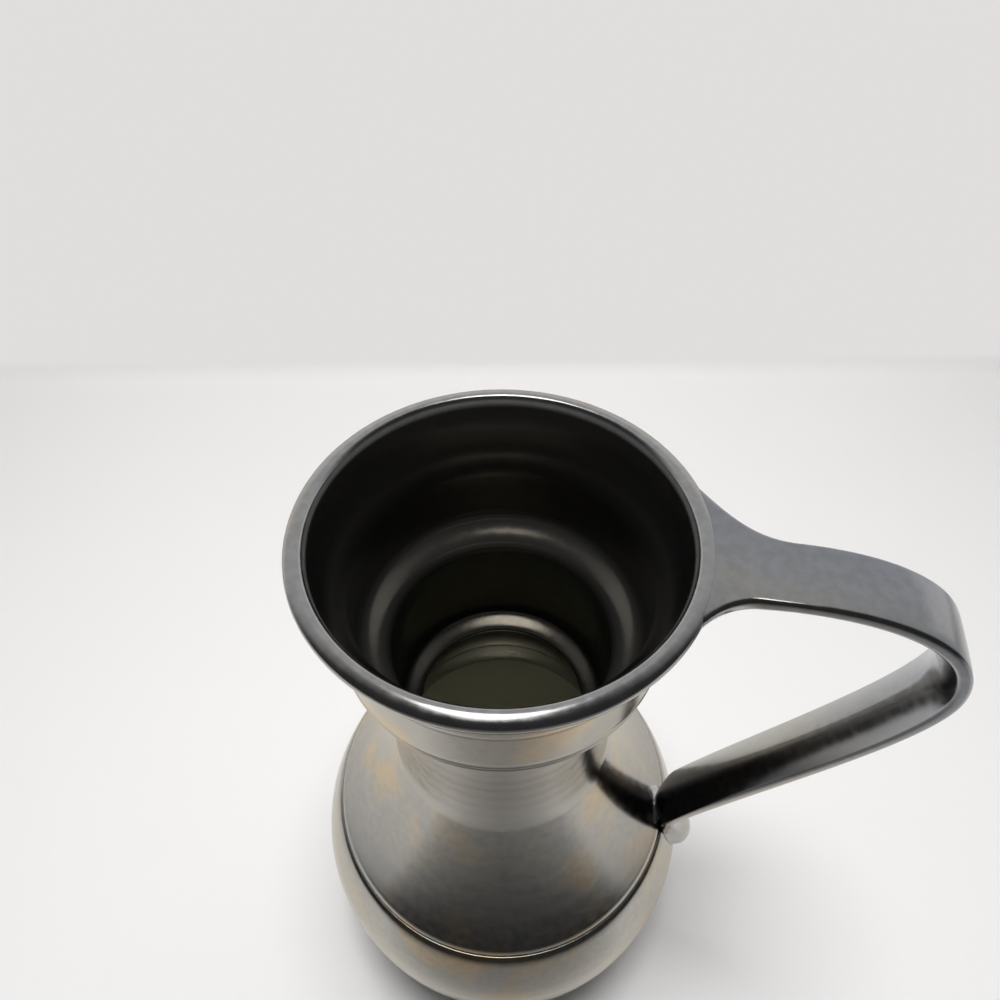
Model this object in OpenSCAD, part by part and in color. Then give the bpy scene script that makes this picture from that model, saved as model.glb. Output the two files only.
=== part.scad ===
// Lustre-glazed jug with a strap handle.
// The vessel is thrown in three sections that are luted one on another: a lower body,
// a shoulder cone, and a neck with its flared mouth. The handle is a flat strap whose
// root fans out into the lip and whose tail is pressed down on the belly.
// The jug stands on z = 0, its axis is Z and the handle lies along +X.

/* [Vessel] */
// Height from the table to the crown of the lip
total_h = 228; // [215:1:245]
// Outside diameter of the lip
mouth_d = 92; // [88:1:98]
// Diameter of the rolled bead of the lip
lip_bead_d = 3.9; // [3:0.1:5]
// Thickness of the wall
wall = 3.8; // [3:0.1:4.5]
// Outside diameter of the collar below the lip
collar_d = 79; // [75:1:82]
// Height of the collar, from its lower edge to the crown of the lip
collar_h = 34.5; // [30:0.5:40]
// Outside diameter of the neck just below the collar
neck_d = 64; // [58:1:68]
// Height over which the neck steps out to the collar
neck_step_h = 17; // [14:0.5:22]
// Height over which the inside steps in from the collar to the neck
inner_step_h = 11.5; // [9:0.5:14]
// Outside diameter of the neck at its base
neck_base_d = 62.6; // [58:0.2:68]
// Height of the crease at the base of the neck
crease_z = 136; // [125:1:145]
// Outside diameter of the shoulder's edge, at its incised groove
shoulder_d = 110.8; // [106:0.2:114]
// Height of the shoulder's edge
shoulder_z = 94.5; // [88:0.5:100]
// How far the shoulder swells outside a straight cone; below 0 it hollows in
shoulder_bow = -2.5; // [-4:0.1:2]
// Widest outside diameter of the belly
belly_d = 124; // [118:1:132]
// Height of the widest part of the belly
belly_z = 70; // [62:1:74]
// Lean of the belly's wall from plumb, just below the shoulder's edge
belly_lean = 21.5; // [14:0.5:28]

/* [Foot] */
// Outside diameter of the foot ring
foot_d = 80; // [70:1:90]
// Height of the upright foot ring
foot_h = 5; // [3:0.5:8]
// Width of the flat face of the foot ring
foot_face = 4.5; // [3:0.5:8]
// Depth of the recess under the base
base_recess = 2.5; // [1:0.5:4]
// Thickness of the floor
floor_t = 4.5; // [3:0.5:7]
// Rounding of the foot ring's lower edges
foot_round = 1; // [0.5:0.1:2]
// Length of the sweep that carries the belly into the foot ring
ankle_sweep = 12.7; // [8:0.1:18]

/* [Rings] */
// Width of the incised groove round the shoulder's edge
groove_w = 1.8; // [1:0.1:3]
// Depth of the incised groove round the shoulder's edge
groove_depth = 0.8; // [0.4:0.1:1.5]
// Height of the half-round bead at the collar's lower edge
collar_bead = 2.5; // [1.5:0.1:4]
// How far the collar's bead stands outside the collar
bead_proud = 0.2; // [0:0.1:0.6]
// Width of the line above the collar's bead
bead_line_w = 0.8; // [0.4:0.1:1.5]
// Depth of the line above the collar's bead
bead_line_depth = 0.5; // [0.2:0.1:1]
// Height of the soft line on the collar, below the crown of the lip
soft_line_drop = 19; // [16:0.5:24]
// Width of the soft line on the collar
soft_line_w = 1.8; // [1:0.1:3]
// Depth of the soft line on the collar
soft_line_depth = 0.3; // [0.1:0.05:0.8]

/* [Handle] */
// Width of the strap
strap_w = 16; // [13:0.5:20]
// Thickness of the strap
strap_t = 7; // [5:0.5:9]
// Distance from the jug's axis to the middle of the strap at the bend
handle_reach = 98.3; // [90:0.1:110]
// Drop from the crown of the lip to the outermost point of the bend
bend_drop = 25; // [20:1:35]
// Radius of the fillet that fans the root out into the lip on its left side, in plan
left_fillet = 23.5; // [15:0.5:28]
// Radius of the fillet that fans the root out into the lip on its right side, in plan
right_fillet = 11; // [8:0.5:28]
// Thickness of the root where it meets the lip
root_t = 8; // [6:0.5:10]
// How far the root's top lies below the crown of the lip
root_step = 0.6; // [0.3:0.1:1.5]
// How far the middle of the strap stands above the middle of the lip bead
strap_rise = 0.4; // [-1:0.1:2]
// Length that keeps the top run level before it bends
top_lead = 20.6; // [12:0.1:28]
// Length that draws the top run down into the bend
bend_lead = 16.6; // [10:0.1:24]
// Length that draws the bend out into the lower run
bend_trail = 17.7; // [10:0.1:24]
// Lean of the lower run from plumb
lower_lean = 24.5; // [18:0.5:32]
// Length that keeps the lower run straight
lower_lead = 34.7; // [20:0.1:45]
// Height above the shoulder's edge at which the heel starts
heel_rise = 15.5; // [12:0.5:20]
// Distance of the heel's start outside the shoulder's edge
heel_out = 0.6; // [0:0.1:3]
// Length that carries the heel in towards the shoulder
heel_lead = 12; // [8:0.5:15]
// Length that draws the tail down the belly
tail_lead = 22; // [16:0.5:28]
// Height of the tail's tip above the widest part of the belly
tail_rise = 1; // [0:0.5:8]
// Height of the tail's middle off the belly, at its tip
tail_lift = 0.6; // [0.3:0.1:2]

/* [Luting] */
// Thickness of the slip between the handle, its coils and the vessel
luting_gap = 0.15; // [0.1:0.05:0.3]
// Leg of the coil pressed under the handle's root
upper_coil_leg = 6; // [4:0.5:8]
// Leg of the coil pressed into the corner above the handle's heel
lower_coil_leg = 4; // [2.5:0.5:6]

/* [Hidden] */
$fn = 96;
gunmetal = [0.30, 0.30, 0.31];
gunmetal_dark = [0.22, 0.22, 0.23];
gunmetal_warm = [0.36, 0.34, 0.31];

// Shares of a curve's height over which its end keeps its direction
belly_over_share = 0.36;
belly_under_share = 0.47;
neck_share = 0.35;
neck_step_share = 0.6;
inner_step_share = 0.5;
flare_share = 0.48;
// Lengths that draw the undercut, the flare and the mouth's inside up to the beads they end on
undercut_lead = 5.8;
undercut_lean = 31;
flare_lead = 4.6;
flare_lean = 29;
mouth_lead = 5;
mouth_lean = 37;
// Angles on the beads between which their rounds show
lip_from = -70;
lip_to = 195;
bead_from = -75;
bead_to = 70;
// Shares of the root's spread and of the strap's width along which the coils lie
upper_coil_share = 0.7;
lower_coil_share = 0.8;
// Share of a coil's leg that is left at its two ends, and the thickness of its thin edges
coil_end_share = 0.2;
coil_edge = 0.2;
// Shares of the corner above the heel that its coil fills, and leaves against the shoulder
coil_fill = 0.9;
coil_stand = 0.04;

// Steps along each long curve, along each small round, and round the strap's section
curve_steps = 14;
round_steps = 8;
section_steps = 24;
coil_steps = 10;
search_steps = 60;
// Exponent of the strap's section: 2 is an ellipse, more is squarer
section_power = 3;

function mix(a, b, t) = a + (b - a) * t;
function unit(v) = v / norm(v);
function side_of(v) = [-v[1], v[0]];
function leaning(a) = [sin(a), cos(a)];
function bezier_point(p, t) =
    pow(1 - t, 3) * p[0] + 3 * t * pow(1 - t, 2) * p[1] + 3 * t * t * (1 - t) * p[2] + pow(t, 3) * p[3];
function bezier_slope(p, t) =
    unit(pow(1 - t, 2) * (p[1] - p[0]) + 2 * t * (1 - t) * (p[2] - p[1]) + t * t * (p[3] - p[2]));
function bezier(p, n) = [for (i = [0 : n]) bezier_point(p, i / n)];
function arc(c, r, a0, a1, n) = [for (i = [0 : n]) let (a = mix(a0, a1, i / n)) c + r * [cos(a), sin(a)]];
function reversed(list) = [for (i = [len(list) - 1 : -1 : 0]) list[i]];
function flipped(list) = [for (p = list) [p[1], p[0]]];
function without_ends(list) = [for (i = [1 : len(list) - 2]) list[i]];

// Landmarks of the profile, as radius and height
lip_bead_r = lip_bead_d / 2;
lip_c = [mouth_d / 2 - lip_bead_r, total_h - lip_bead_r];
collar_r = collar_d / 2;
collar_z = total_h - collar_h;
neck_r = neck_d / 2;
crease = [neck_base_d / 2, crease_z];
groove = [shoulder_d / 2, shoulder_z];
belly = [belly_d / 2, belly_z];
foot_r = foot_d / 2;
recess_r = foot_r - foot_face - 2 * foot_round;
floor_z = base_recess + floor_t;

// The shoulder is a bowed cone, and both joint faces stand square to its slope
shoulder_dir = unit(groove - crease);
shoulder_out = side_of(shoulder_dir);
function inset(p) = p - wall * shoulder_out;
shoulder_curve = bezier([
    crease,
    mix(crease, groove, 1 / 3) + shoulder_bow * 4 / 3 * shoulder_out,
    mix(crease, groove, 2 / 3) + shoulder_bow * 4 / 3 * shoulder_out,
    groove], curve_steps);
groove_floor = groove - groove_depth * shoulder_out;

// The belly rolls over from the shoulder's edge, and runs in to the foot
crown_lead = (groove[1] - belly[1]) * belly_over_share;
over_dir = -leaning(-belly_lean);
belly_over = bezier([groove, groove + crown_lead * over_dir, belly + [0, crown_lead], belly], curve_steps);
belly_under_lead = (belly[1] - foot_h) * belly_under_share;
ankle = [foot_r + foot_round, foot_h];
belly_under = bezier([
    belly,
    belly - [0, belly_under_lead],
    ankle + ankle_sweep * leaning(45),
    ankle], curve_steps);

// Inside of the belly, from the joint face down to the floor
inner_belly = belly - [wall, 0];
inner_over = bezier([
    inset(groove),
    inset(groove) + crown_lead * over_dir,
    inner_belly + [0, crown_lead],
    inner_belly], curve_steps);
inner_under = bezier([
    inner_belly,
    inner_belly - [0, belly_under_lead],
    [ankle[0] + wall, floor_z],
    [foot_r - 2 * wall, floor_z]], curve_steps);

// The neck rises from the crease, steps out under the collar, and ends in the collar's bead
neck_top_z = collar_z - neck_step_h;
collar_bead_r = collar_bead / 2;
collar_bead_c = [collar_r + bead_proud - collar_bead_r, collar_z + collar_bead_r];
collar_bead_round = arc(collar_bead_c, collar_bead_r, bead_from, bead_to, round_steps);
neck_lead = (neck_top_z - crease_z) * neck_share;
neck_side = bezier([
    crease,
    crease + [0, neck_lead],
    [neck_r, neck_top_z - neck_lead],
    [neck_r, neck_top_z]], curve_steps);
neck_step = bezier([
    [neck_r, neck_top_z],
    [neck_r, neck_top_z + neck_step_h * neck_step_share],
    collar_bead_round[0] - undercut_lead * leaning(undercut_lean),
    collar_bead_round[0]], curve_steps);
bead_line = [collar_r - bead_line_depth, collar_z + collar_bead + bead_line_w / 8];
collar_foot = [collar_r, collar_z + collar_bead + bead_line_w];

// The collar stands upright to its soft line, then flares to the lip
soft_line_z = total_h - soft_line_drop;
soft_line = [for (i = [0 : round_steps]) let (a = 360 * i / round_steps)
    [collar_r - soft_line_depth * (1 - cos(a)) / 2, soft_line_z + soft_line_w * (i / round_steps - 0.5)]];
lip_round = arc(lip_c, lip_bead_r, lip_from, lip_to, 3 * round_steps);
flare_foot = soft_line[round_steps];
flare = bezier([
    flare_foot,
    flare_foot + [0, (lip_c[1] - flare_foot[1]) * flare_share],
    lip_round[0] - flare_lead * leaning(flare_lean),
    lip_round[0]], curve_steps);

// Inside of the mouth, the step under the collar and the neck
inner_collar_r = collar_r - wall;
inner_neck_r = neck_r - wall;
inner_step_top = [inner_collar_r, collar_z];
inner_step_low = [inner_neck_r, collar_z - inner_step_h];
inner_flare_foot = [inner_collar_r, soft_line_z - wall];
mouth_edge = lip_round[3 * round_steps];
inner_flare = bezier([
    mouth_edge,
    mouth_edge - mouth_lead * leaning(mouth_lean),
    inner_flare_foot + [0, (mouth_edge[1] - inner_flare_foot[1]) * flare_share],
    inner_flare_foot], curve_steps);
inner_step = bezier([
    inner_step_top,
    inner_step_top - [0, inner_step_h * inner_step_share],
    inner_step_low + [0, inner_step_h * inner_step_share],
    inner_step_low], curve_steps);

// Outside of the vessel from the belly up to the crown of the lip, as height and radius
lip_outside = [for (p = lip_round) if (p[0] >= lip_c[0]) p];
outside_table = flipped(concat(
    reversed(belly_under),
    without_ends(reversed(belly_over)),
    reversed(shoulder_curve),
    without_ends(neck_side),
    neck_step,
    collar_bead_round,
    [bead_line, collar_foot],
    soft_line,
    without_ends(flare),
    lip_outside));
function outside_r(z) = lookup(z, outside_table);

// A point that would lie inside the vessel is moved straight out to its skin
function seated(p) =
    let (r = norm([p[0], p[1]]), skin = outside_r(p[2]) + luting_gap, k = max(1, skin / r))
    [p[0] * k, p[1] * k, p[2]];

// The strap's section: u across the strap and v through it, both from -1 to 1
function rounded(c) = sign(c) * pow(abs(c), 2 / section_power);
section = [for (i = [0 : section_steps - 1]) let (a = 360 * i / section_steps)
    [rounded(cos(a)), rounded(sin(a))]];

// In plan the root's two edges are arcs, tangent to the lip and to the strap's sides
function fillet_turn(r) = asin((strap_w / 2 + r) / (mouth_d / 2 + r));
function fillet_end_x(r) = (mouth_d / 2 + r) * cos(fillet_turn(r));
fan_end_x = max(fillet_end_x(left_fillet), fillet_end_x(right_fillet));
// Where the fan lies across the handle, from u = -1 at its right edge to 1 at its left
function fan_y(u, f) = let (
        r = u > 0 ? left_fillet : right_fillet,
        lip = mouth_d / 2 * cos(fillet_turn(r)),
        x = max(0, fillet_end_x(r) - mix(lip, fan_end_x, f)))
    u * (strap_w / 2 + r - sqrt(max(0, r * r - x * x)));
function eased(t) = t * t * (3 - 2 * t);
root_z = total_h - root_step - root_t / 2;
strap_z = lip_c[1] + strap_rise;
function lip_x(y, z) = sqrt(max(0, pow(outside_r(min(z, total_h)) + luting_gap, 2) - y * y));
// The root's seat on the lip: its outline drawn in by the factor k, on the lip's skin
function seat_ring(k) = [for (s = section)
    let (py = k * fan_y(s[0], 0), pz = root_z + k * s[1] * root_t / 2)
    [lip_x(py, pz), py, pz]];
function fan_ring(f) = let (
        half_t = mix(root_t, strap_t, eased(f)) / 2,
        z = mix(root_z, strap_z, eased(f)))
    [for (s = section) let (py = fan_y(s[0], f), pz = z + s[1] * half_t)
        [mix(lip_x(py, pz), fan_end_x, f), py, pz]];

// The strap's path in its upright plane: a top run, a lower run, and a heel with its tail
bend = [handle_reach, total_h - bend_drop];
lower_dir = [-sin(lower_lean), -cos(lower_lean)];
heel = groove + [heel_out, heel_rise];
tail_z = belly_z + tail_rise;
tail_tip = [outside_r(tail_z) + tail_lift, tail_z];
tail_dir = unit([outside_r(tail_z) - outside_r(tail_z + tail_lead), -tail_lead]);
top_run = [[fan_end_x, strap_z], [fan_end_x + top_lead, strap_z], bend + [0, bend_lead], bend];
lower_run = [bend, bend - [0, bend_trail], heel - lower_lead * lower_dir, heel];
tail_run = [heel, heel + heel_lead * lower_dir, tail_tip - tail_lead * tail_dir, tail_tip];

// A ring of the strap, square to a run at t; the tail's ring is drawn in by the factor k
function strap_ring(run, t, k) = let (c = bezier_point(run, t), n = side_of(bezier_slope(run, t)))
    [for (s = section) let (across = s[0] * k * strap_w / 2, through = s[1] * k * strap_t / 2)
        seated([c[0] + through * n[0], across, c[1] + through * n[1]])];
function tail_t(i) = sin(90 * i / curve_steps);
tail_round_from = 0.45;
tail_tip_share = 0.26;
function tail_factor(t) = let (e = max(0, (t - tail_round_from) / (1 - tail_round_from)))
    mix(tail_tip_share, 1, sqrt(1 - e * e));
handle_rings = concat(
    [for (i = [1 : round_steps - 1]) seat_ring(i / round_steps)],
    [for (i = [0 : round_steps]) fan_ring(i / round_steps)],
    [for (i = [1 : curve_steps]) strap_ring(top_run, i / curve_steps, 1)],
    [for (i = [1 : curve_steps]) strap_ring(lower_run, i / curve_steps, 1)],
    [for (i = [1 : curve_steps]) strap_ring(tail_run, tail_t(i), tail_factor(tail_t(i)))]);

// The corner above the heel: the height at which the strap's inner face meets the shoulder
function inner_face(t) = bezier_point(tail_run, t) - strap_t / 2 * side_of(bezier_slope(tail_run, t));
heel_touch = [for (i = [0 : search_steps]) let (p = inner_face(i / search_steps))
    if (p[0] <= outside_r(p[1]) + luting_gap) p][0];
function coil_taper(u) = mix(coil_end_share, 1, sqrt(1 - u * u));
function coil_bulge(t) = pow(1 - t, 2);

// The coil under the root follows the collar's flare below the root's underside
upper_coil_z = root_z - root_t / 2 - luting_gap;
function upper_coil_ring(u) = let (
        leg = upper_coil_leg * coil_taper(u),
        a = fillet_turn(min(left_fillet, right_fillet)) * upper_coil_share * u)
    [for (p = concat(
            [for (i = [0 : round_steps]) let (z = upper_coil_z - leg * (1 - i / round_steps))
                [outside_r(z) + luting_gap, z]],
            [for (i = [0 : round_steps - 1]) let (t = i / round_steps, z = upper_coil_z - leg * t)
                [outside_r(z) + luting_gap + leg * coil_bulge(t) + coil_edge, z]]))
        [p[0] * cos(a), p[0] * sin(a), p[1]]];

// The coil above the heel lies in the corner between the shoulder and the strap's inner face
function lower_coil_ring(u) = let (
        leg = lower_coil_leg * coil_taper(u),
        y = strap_w / 2 * lower_coil_share * u,
        foot_z = heel_touch[1] + 4 * luting_gap)
    [for (q = concat(
            [for (i = [0 : round_steps]) [0, i / round_steps]],
            [for (i = [1 : round_steps - 1]) let (t = 1 - i / round_steps) [coil_bulge(t), t]]))
        let (
            z = foot_z + leg * q[1],
            skin = sqrt(pow(outside_r(z) + luting_gap, 2) - y * y),
            face = heel_touch[0] + (z - heel_touch[1]) * tan(lower_lean) - luting_gap)
        [skin + min(face - skin, leg * coil_fill) * (q[0] + coil_stand), y, z]];

// A closed solid through rings of equal length, each capped by a fan from its middle
module skin(rings) {
    n = len(rings[0]);
    last = len(rings) - 1;
    points = concat(
        [for (ring = rings) each ring],
        [mean(rings[0]), mean(rings[last])]);
    sides = [for (k = [0 : last - 1], i = [0 : n - 1]) let (j = (i + 1) % n)
        each [[k * n + i, k * n + n + i, k * n + n + j], [k * n + i, k * n + n + j, k * n + j]]];
    first_cap = [for (i = [0 : n - 1]) [(last + 1) * n, i, (i + 1) % n]];
    last_cap = [for (i = [0 : n - 1]) [(last + 1) * n + 1, last * n + (i + 1) % n, last * n + i]];
    polyhedron(points, concat(sides, first_cap, last_cap), convexity = 8);
}
function mean(ring) = [for (p = ring) 1] * ring / len(ring);

module lower_body() {
    color(gunmetal)
        rotate_extrude()
            polygon(concat(
                [groove_floor, belly_over[1]],
                [for (i = [2 : curve_steps]) belly_over[i]],
                [for (i = [1 : curve_steps]) belly_under[i]],
                [[foot_r, foot_h - foot_round], [foot_r, foot_round], [foot_r - foot_round, 0]],
                [[recess_r + foot_round, 0], [recess_r, foot_round], [recess_r, base_recess]],
                [[0, base_recess], [0, floor_z]],
                reversed(inner_under),
                without_ends(reversed(inner_over)),
                [inset(groove)]));
}

module shoulder() {
    color(gunmetal_warm)
        rotate_extrude()
            polygon(concat(
                [for (i = [0 : curve_steps - 1]) shoulder_curve[i]],
                [groove - groove_w / 2 * shoulder_dir, groove_floor],
                [for (p = reversed(shoulder_curve)) inset(p)]));
}

module neck_and_mouth() {
    color(gunmetal)
        rotate_extrude()
            polygon(concat(
                neck_side,
                without_ends(neck_step),
                collar_bead_round,
                [bead_line, collar_foot],
                soft_line,
                without_ends(flare),
                lip_round,
                without_ends(inner_flare),
                [inner_flare_foot],
                inner_step,
                [inset(crease)]));
}

module handle() {
    color(gunmetal_dark)
        skin(handle_rings);
}

module upper_luting_coil() {
    color(gunmetal_warm)
        skin([for (i = [0 : coil_steps]) upper_coil_ring(2 * i / coil_steps - 1)]);
}

module lower_luting_coil() {
    color(gunmetal_warm)
        skin([for (i = [0 : coil_steps]) lower_coil_ring(2 * i / coil_steps - 1)]);
}

lower_body();
shoulder();
neck_and_mouth();
handle();
upper_luting_coil();
lower_luting_coil();
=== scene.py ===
"""Lustre-glazed jug with a strap handle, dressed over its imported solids.

The vessel is three thrown sections, turned from profiles by one Geometry Nodes tree.
The handle is a pulled strap that fans out on the lip, and two coils of clay lute it down.
Profiles are lists of (radius, height) in metres; the jug's axis is Z and its handle lies along +X.
"""

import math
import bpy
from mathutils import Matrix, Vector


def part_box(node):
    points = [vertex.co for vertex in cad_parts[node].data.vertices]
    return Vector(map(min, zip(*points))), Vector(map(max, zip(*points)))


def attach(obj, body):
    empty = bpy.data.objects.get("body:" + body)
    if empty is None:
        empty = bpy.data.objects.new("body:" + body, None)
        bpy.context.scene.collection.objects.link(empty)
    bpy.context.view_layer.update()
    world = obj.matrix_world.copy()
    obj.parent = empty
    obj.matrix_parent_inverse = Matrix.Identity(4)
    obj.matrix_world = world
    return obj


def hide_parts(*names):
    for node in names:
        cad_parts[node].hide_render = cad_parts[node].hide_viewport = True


bl_info = {
    "name": "Lustre Jug",
    "version": (1, 0, 0),
    "blender": (4, 5, 0),
    "location": "View3D > Sidebar > Jug",
    "description": "Builds a lustre-glazed jug with a strap handle over its packed solids",
    "category": "Object",
}

import bmesh
import bpy
from bpy.props import FloatProperty, FloatVectorProperty, IntProperty, PointerProperty
from mathutils import Matrix, Vector

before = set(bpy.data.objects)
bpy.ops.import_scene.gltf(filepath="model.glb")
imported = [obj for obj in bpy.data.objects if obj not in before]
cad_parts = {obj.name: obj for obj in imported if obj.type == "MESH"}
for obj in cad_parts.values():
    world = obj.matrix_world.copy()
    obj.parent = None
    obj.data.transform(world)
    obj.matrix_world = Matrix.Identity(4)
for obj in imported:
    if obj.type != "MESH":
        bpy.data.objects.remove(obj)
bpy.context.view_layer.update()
BODY_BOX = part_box("lower_body")
SHOULDER_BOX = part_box("shoulder")
NECK_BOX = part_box("neck_and_mouth")
MM = 0.001
# Points closer than this are one point
SAME_POINT = 1e-6


# Properties


def length(name, millimetres, description):
    """A size in metres, with its default written in millimetres."""
    return FloatProperty(
        name=name, description=description, default=millimetres * MM, unit="LENGTH", precision=5
    )


def angle(name, degrees, description):
    """An angle in radians, with its default written in degrees."""
    return FloatProperty(
        name=name, description=description, default=math.radians(degrees), subtype="ANGLE"
    )


def plain(name, value, description, low, high):
    """A number without a unit."""
    return FloatProperty(name=name, description=description, default=value, min=low, max=high)


def tint(name, colour, description):
    """A linear colour."""
    return FloatVectorProperty(
        name=name, description=description, default=colour, size=3, min=0, max=1, subtype="COLOR"
    )


class JugVesselSizes(bpy.types.PropertyGroup):
    """Sizes of the thrown vessel; those that the solids show come from the solids' boxes."""

    height: length("Height", NECK_BOX[1].z / MM, "From the table to the crown of the lip")
    mouth_r: length("Mouth radius", NECK_BOX[1].x / MM, "Outside radius of the lip")
    lip_r: length("Lip bead radius", 2.25, "Half the width of the rolled bead of the lip")
    lip_power: plain("Lip power", 2.8, "2 is a round bead, more is flatter on top", 2, 4)
    lip_tilt: angle("Lip tilt", 17, "How far the top of the lip faces outwards")
    wall: length("Wall", 3.8, "Thickness of the thrown wall")
    collar_r: length("Collar radius", 39.5, "Outside radius of the collar below the lip")
    collar_h: length("Collar height", 34.5, "From the collar's lower edge to the crown of the lip")
    neck_r: length("Neck radius", 30.3, "Outside radius of the neck below the collar")
    inner_neck_r: length("Inner neck radius", 28.2, "Inside radius of the neck")
    neck_base_r: length("Neck base radius", 31.8, "Outside radius of the neck at the crease")
    neck_lean: angle("Neck lean", 8, "How far the foot of the neck leans out to the crease")
    neck_step_h: length("Neck step", 12, "Height over which the neck steps out to the collar")
    ledge_z: length("Ledge height", 187.6, "Height of the ledge inside the foot of the collar")
    sill_z: length("Sill height", 152, "Height of the sill inside the foot of the neck")
    sill_r: length("Sill radius", 23, "Inside radius at the sill")
    crease_z: length("Crease height", SHOULDER_BOX[1].z / MM, "Height of the crease under the neck")
    crease_fillet: length("Crease fillet", 5, "From the crease to the joint under it")
    crease_fill: length("Crease fill", 1.6, "Reach of the glaze that fills the crease")
    groove_r: length("Groove radius", 55.4, "Outside radius at the shoulder's incised groove")
    groove_z: length("Groove height", 94.5, "Height of the incised groove")
    groove_w: length("Groove width", 2.2, "Width of the incised groove")
    groove_depth: length("Groove depth", 1.6, "Depth of the incised groove")
    shoulder_bow: length("Shoulder bow", -2.5, "How far the shoulder swells; below 0 it is hollow")
    collared: length("Collared", 3, "Extra thickness in the middle of the shoulder's wall, inside")
    belly_r: length("Belly radius", BODY_BOX[1].x / MM, "Widest outside radius of the belly")
    belly_z: length("Belly height", 70, "Height of the widest part of the belly")
    belly_lean: angle("Belly lean", 21.5, "Lean of the belly's wall just below the groove")
    bead_r: length("Collar bead radius", 1.25, "Radius of the bead at the collar's lower edge")
    bead_proud: length("Bead proud", 0.08, "How far the collar's bead stands outside the collar")
    bead_line_depth: length("Bead line depth", 0.1, "Depth of the line above the collar's bead")
    bead_line_w: length("Bead line width", 0.8, "Width of the line above the collar's bead")
    rib_r: length("Rib radius", 1, "Radius of the rib under the collar's bead")
    rib_inset: length("Rib inset", 0.35, "How far the rib lies inside the collar")
    soft_line_drop: length("Soft line drop", 19, "From the crown of the lip to the soft line")
    soft_line_w: length("Soft line width", 1.8, "Width of the soft line on the collar")
    soft_line_depth: length("Soft line depth", 0.07, "Depth of the soft line on the collar")
    foot_r: length("Foot radius", 40, "Outside radius of the foot ring")
    foot_h: length("Foot height", 5, "Height of the upright foot ring")
    foot_face: length("Foot face", 4.5, "Width of the foot ring's flat face")
    foot_round: length("Foot rounding", 1, "Rounding of the foot ring's edges")
    base_recess: length("Base recess", 2.5, "Depth of the recess under the base")
    floor_t: length("Floor", 4.5, "Thickness of the floor")
    ankle_sweep: length("Ankle sweep", 12.7, "Length that sweeps the belly into the foot ring")
    ring_depth: length("Throwing ring depth", 0.005, "Height of the faint rings left by throwing")
    ring_pitch: length("Throwing ring pitch", 5.5, "Distance between the throwing rings")
    wobble: length("Wobble", 0.04, "How far the thrown wall wanders from a true turn")
    segments: IntProperty(
        name="Segments", description="Faces round the vessel", default=224, min=24, max=400
    )


class JugHandleSizes(bpy.types.PropertyGroup):
    """Sizes of the strap handle and of the coils that lute it on."""

    strap_w: length("Strap width", 16.5, "Width of the strap")
    strap_t: length("Strap thickness", 6.4, "Thickness of the strap")
    reach: length("Reach", 98.3, "From the axis to the middle of the strap at the bend")
    bend_drop: length("Bend drop", 25, "From the crown of the lip to the outermost point")
    left_fillet: length("Left fillet", 23.5, "Radius of the fillet on the root's left side, in plan")
    right_fillet: length("Right fillet", 11, "Radius of the fillet on the root's right side, in plan")
    root_t: length("Root thickness", 8.3, "Thickness of the root where it meets the lip")
    root_step: length("Root step", 0.3, "How far the root's top lies below the crown of the lip")
    root_dip: length("Root dip", 0.4, "Depth of the soft valley between the lip and the root's top")
    strap_rise: length("Strap rise", 0.5, "Strap's top above the crown of the lip where the fan ends")
    climb: angle("Climb", 4.4, "Slope of the strap's top where the fan ends")
    top_lead: length("Top lead", 20.6, "Length that keeps the top run level")
    bend_lead: length("Bend lead", 16.6, "Length that draws the top run into the bend")
    bend_trail: length("Bend trail", 17.7, "Length that draws the bend into the lower run")
    lower_lean: angle("Lower lean", 24.5, "Lean of the lower run from plumb")
    lower_lead: length("Lower lead", 34.7, "Length that keeps the lower run straight")
    heel_rise: length("Heel rise", 15.5, "Height of the heel's start above the groove")
    heel_out: length("Heel out", 0.6, "Distance of the heel's start outside the groove")
    heel_lead: length("Heel lead", 12, "Length that carries the heel in to the shoulder")
    tail_lead: length("Tail lead", 22, "Length that draws the tail down the belly")
    tail_rise: length("Tail rise", 6, "Height of the tail's tip above the belly's widest part")
    tail_lift: length("Tail lift", 3.2, "Height of the strap's middle off the belly at the tail")
    strap_corner: length("Strap corner", 1.1, "Rounding of the strap's outer edges")
    strap_crown: length("Strap crown", 0.15, "How far the strap's outer face swells in its middle")
    side_h: length("Side height", 2.8, "Height of the strap's sides, below which its inner face bows")
    luting_gap: length("Luting gap", 0.05, "Slip between the handle, its coils and the vessel")
    upper_coil_leg: length("Upper coil leg", 6, "Leg of the coil under the root")
    lower_coil_leg: length("Lower coil leg", 4.2, "Leg of the coil above the heel")


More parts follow.
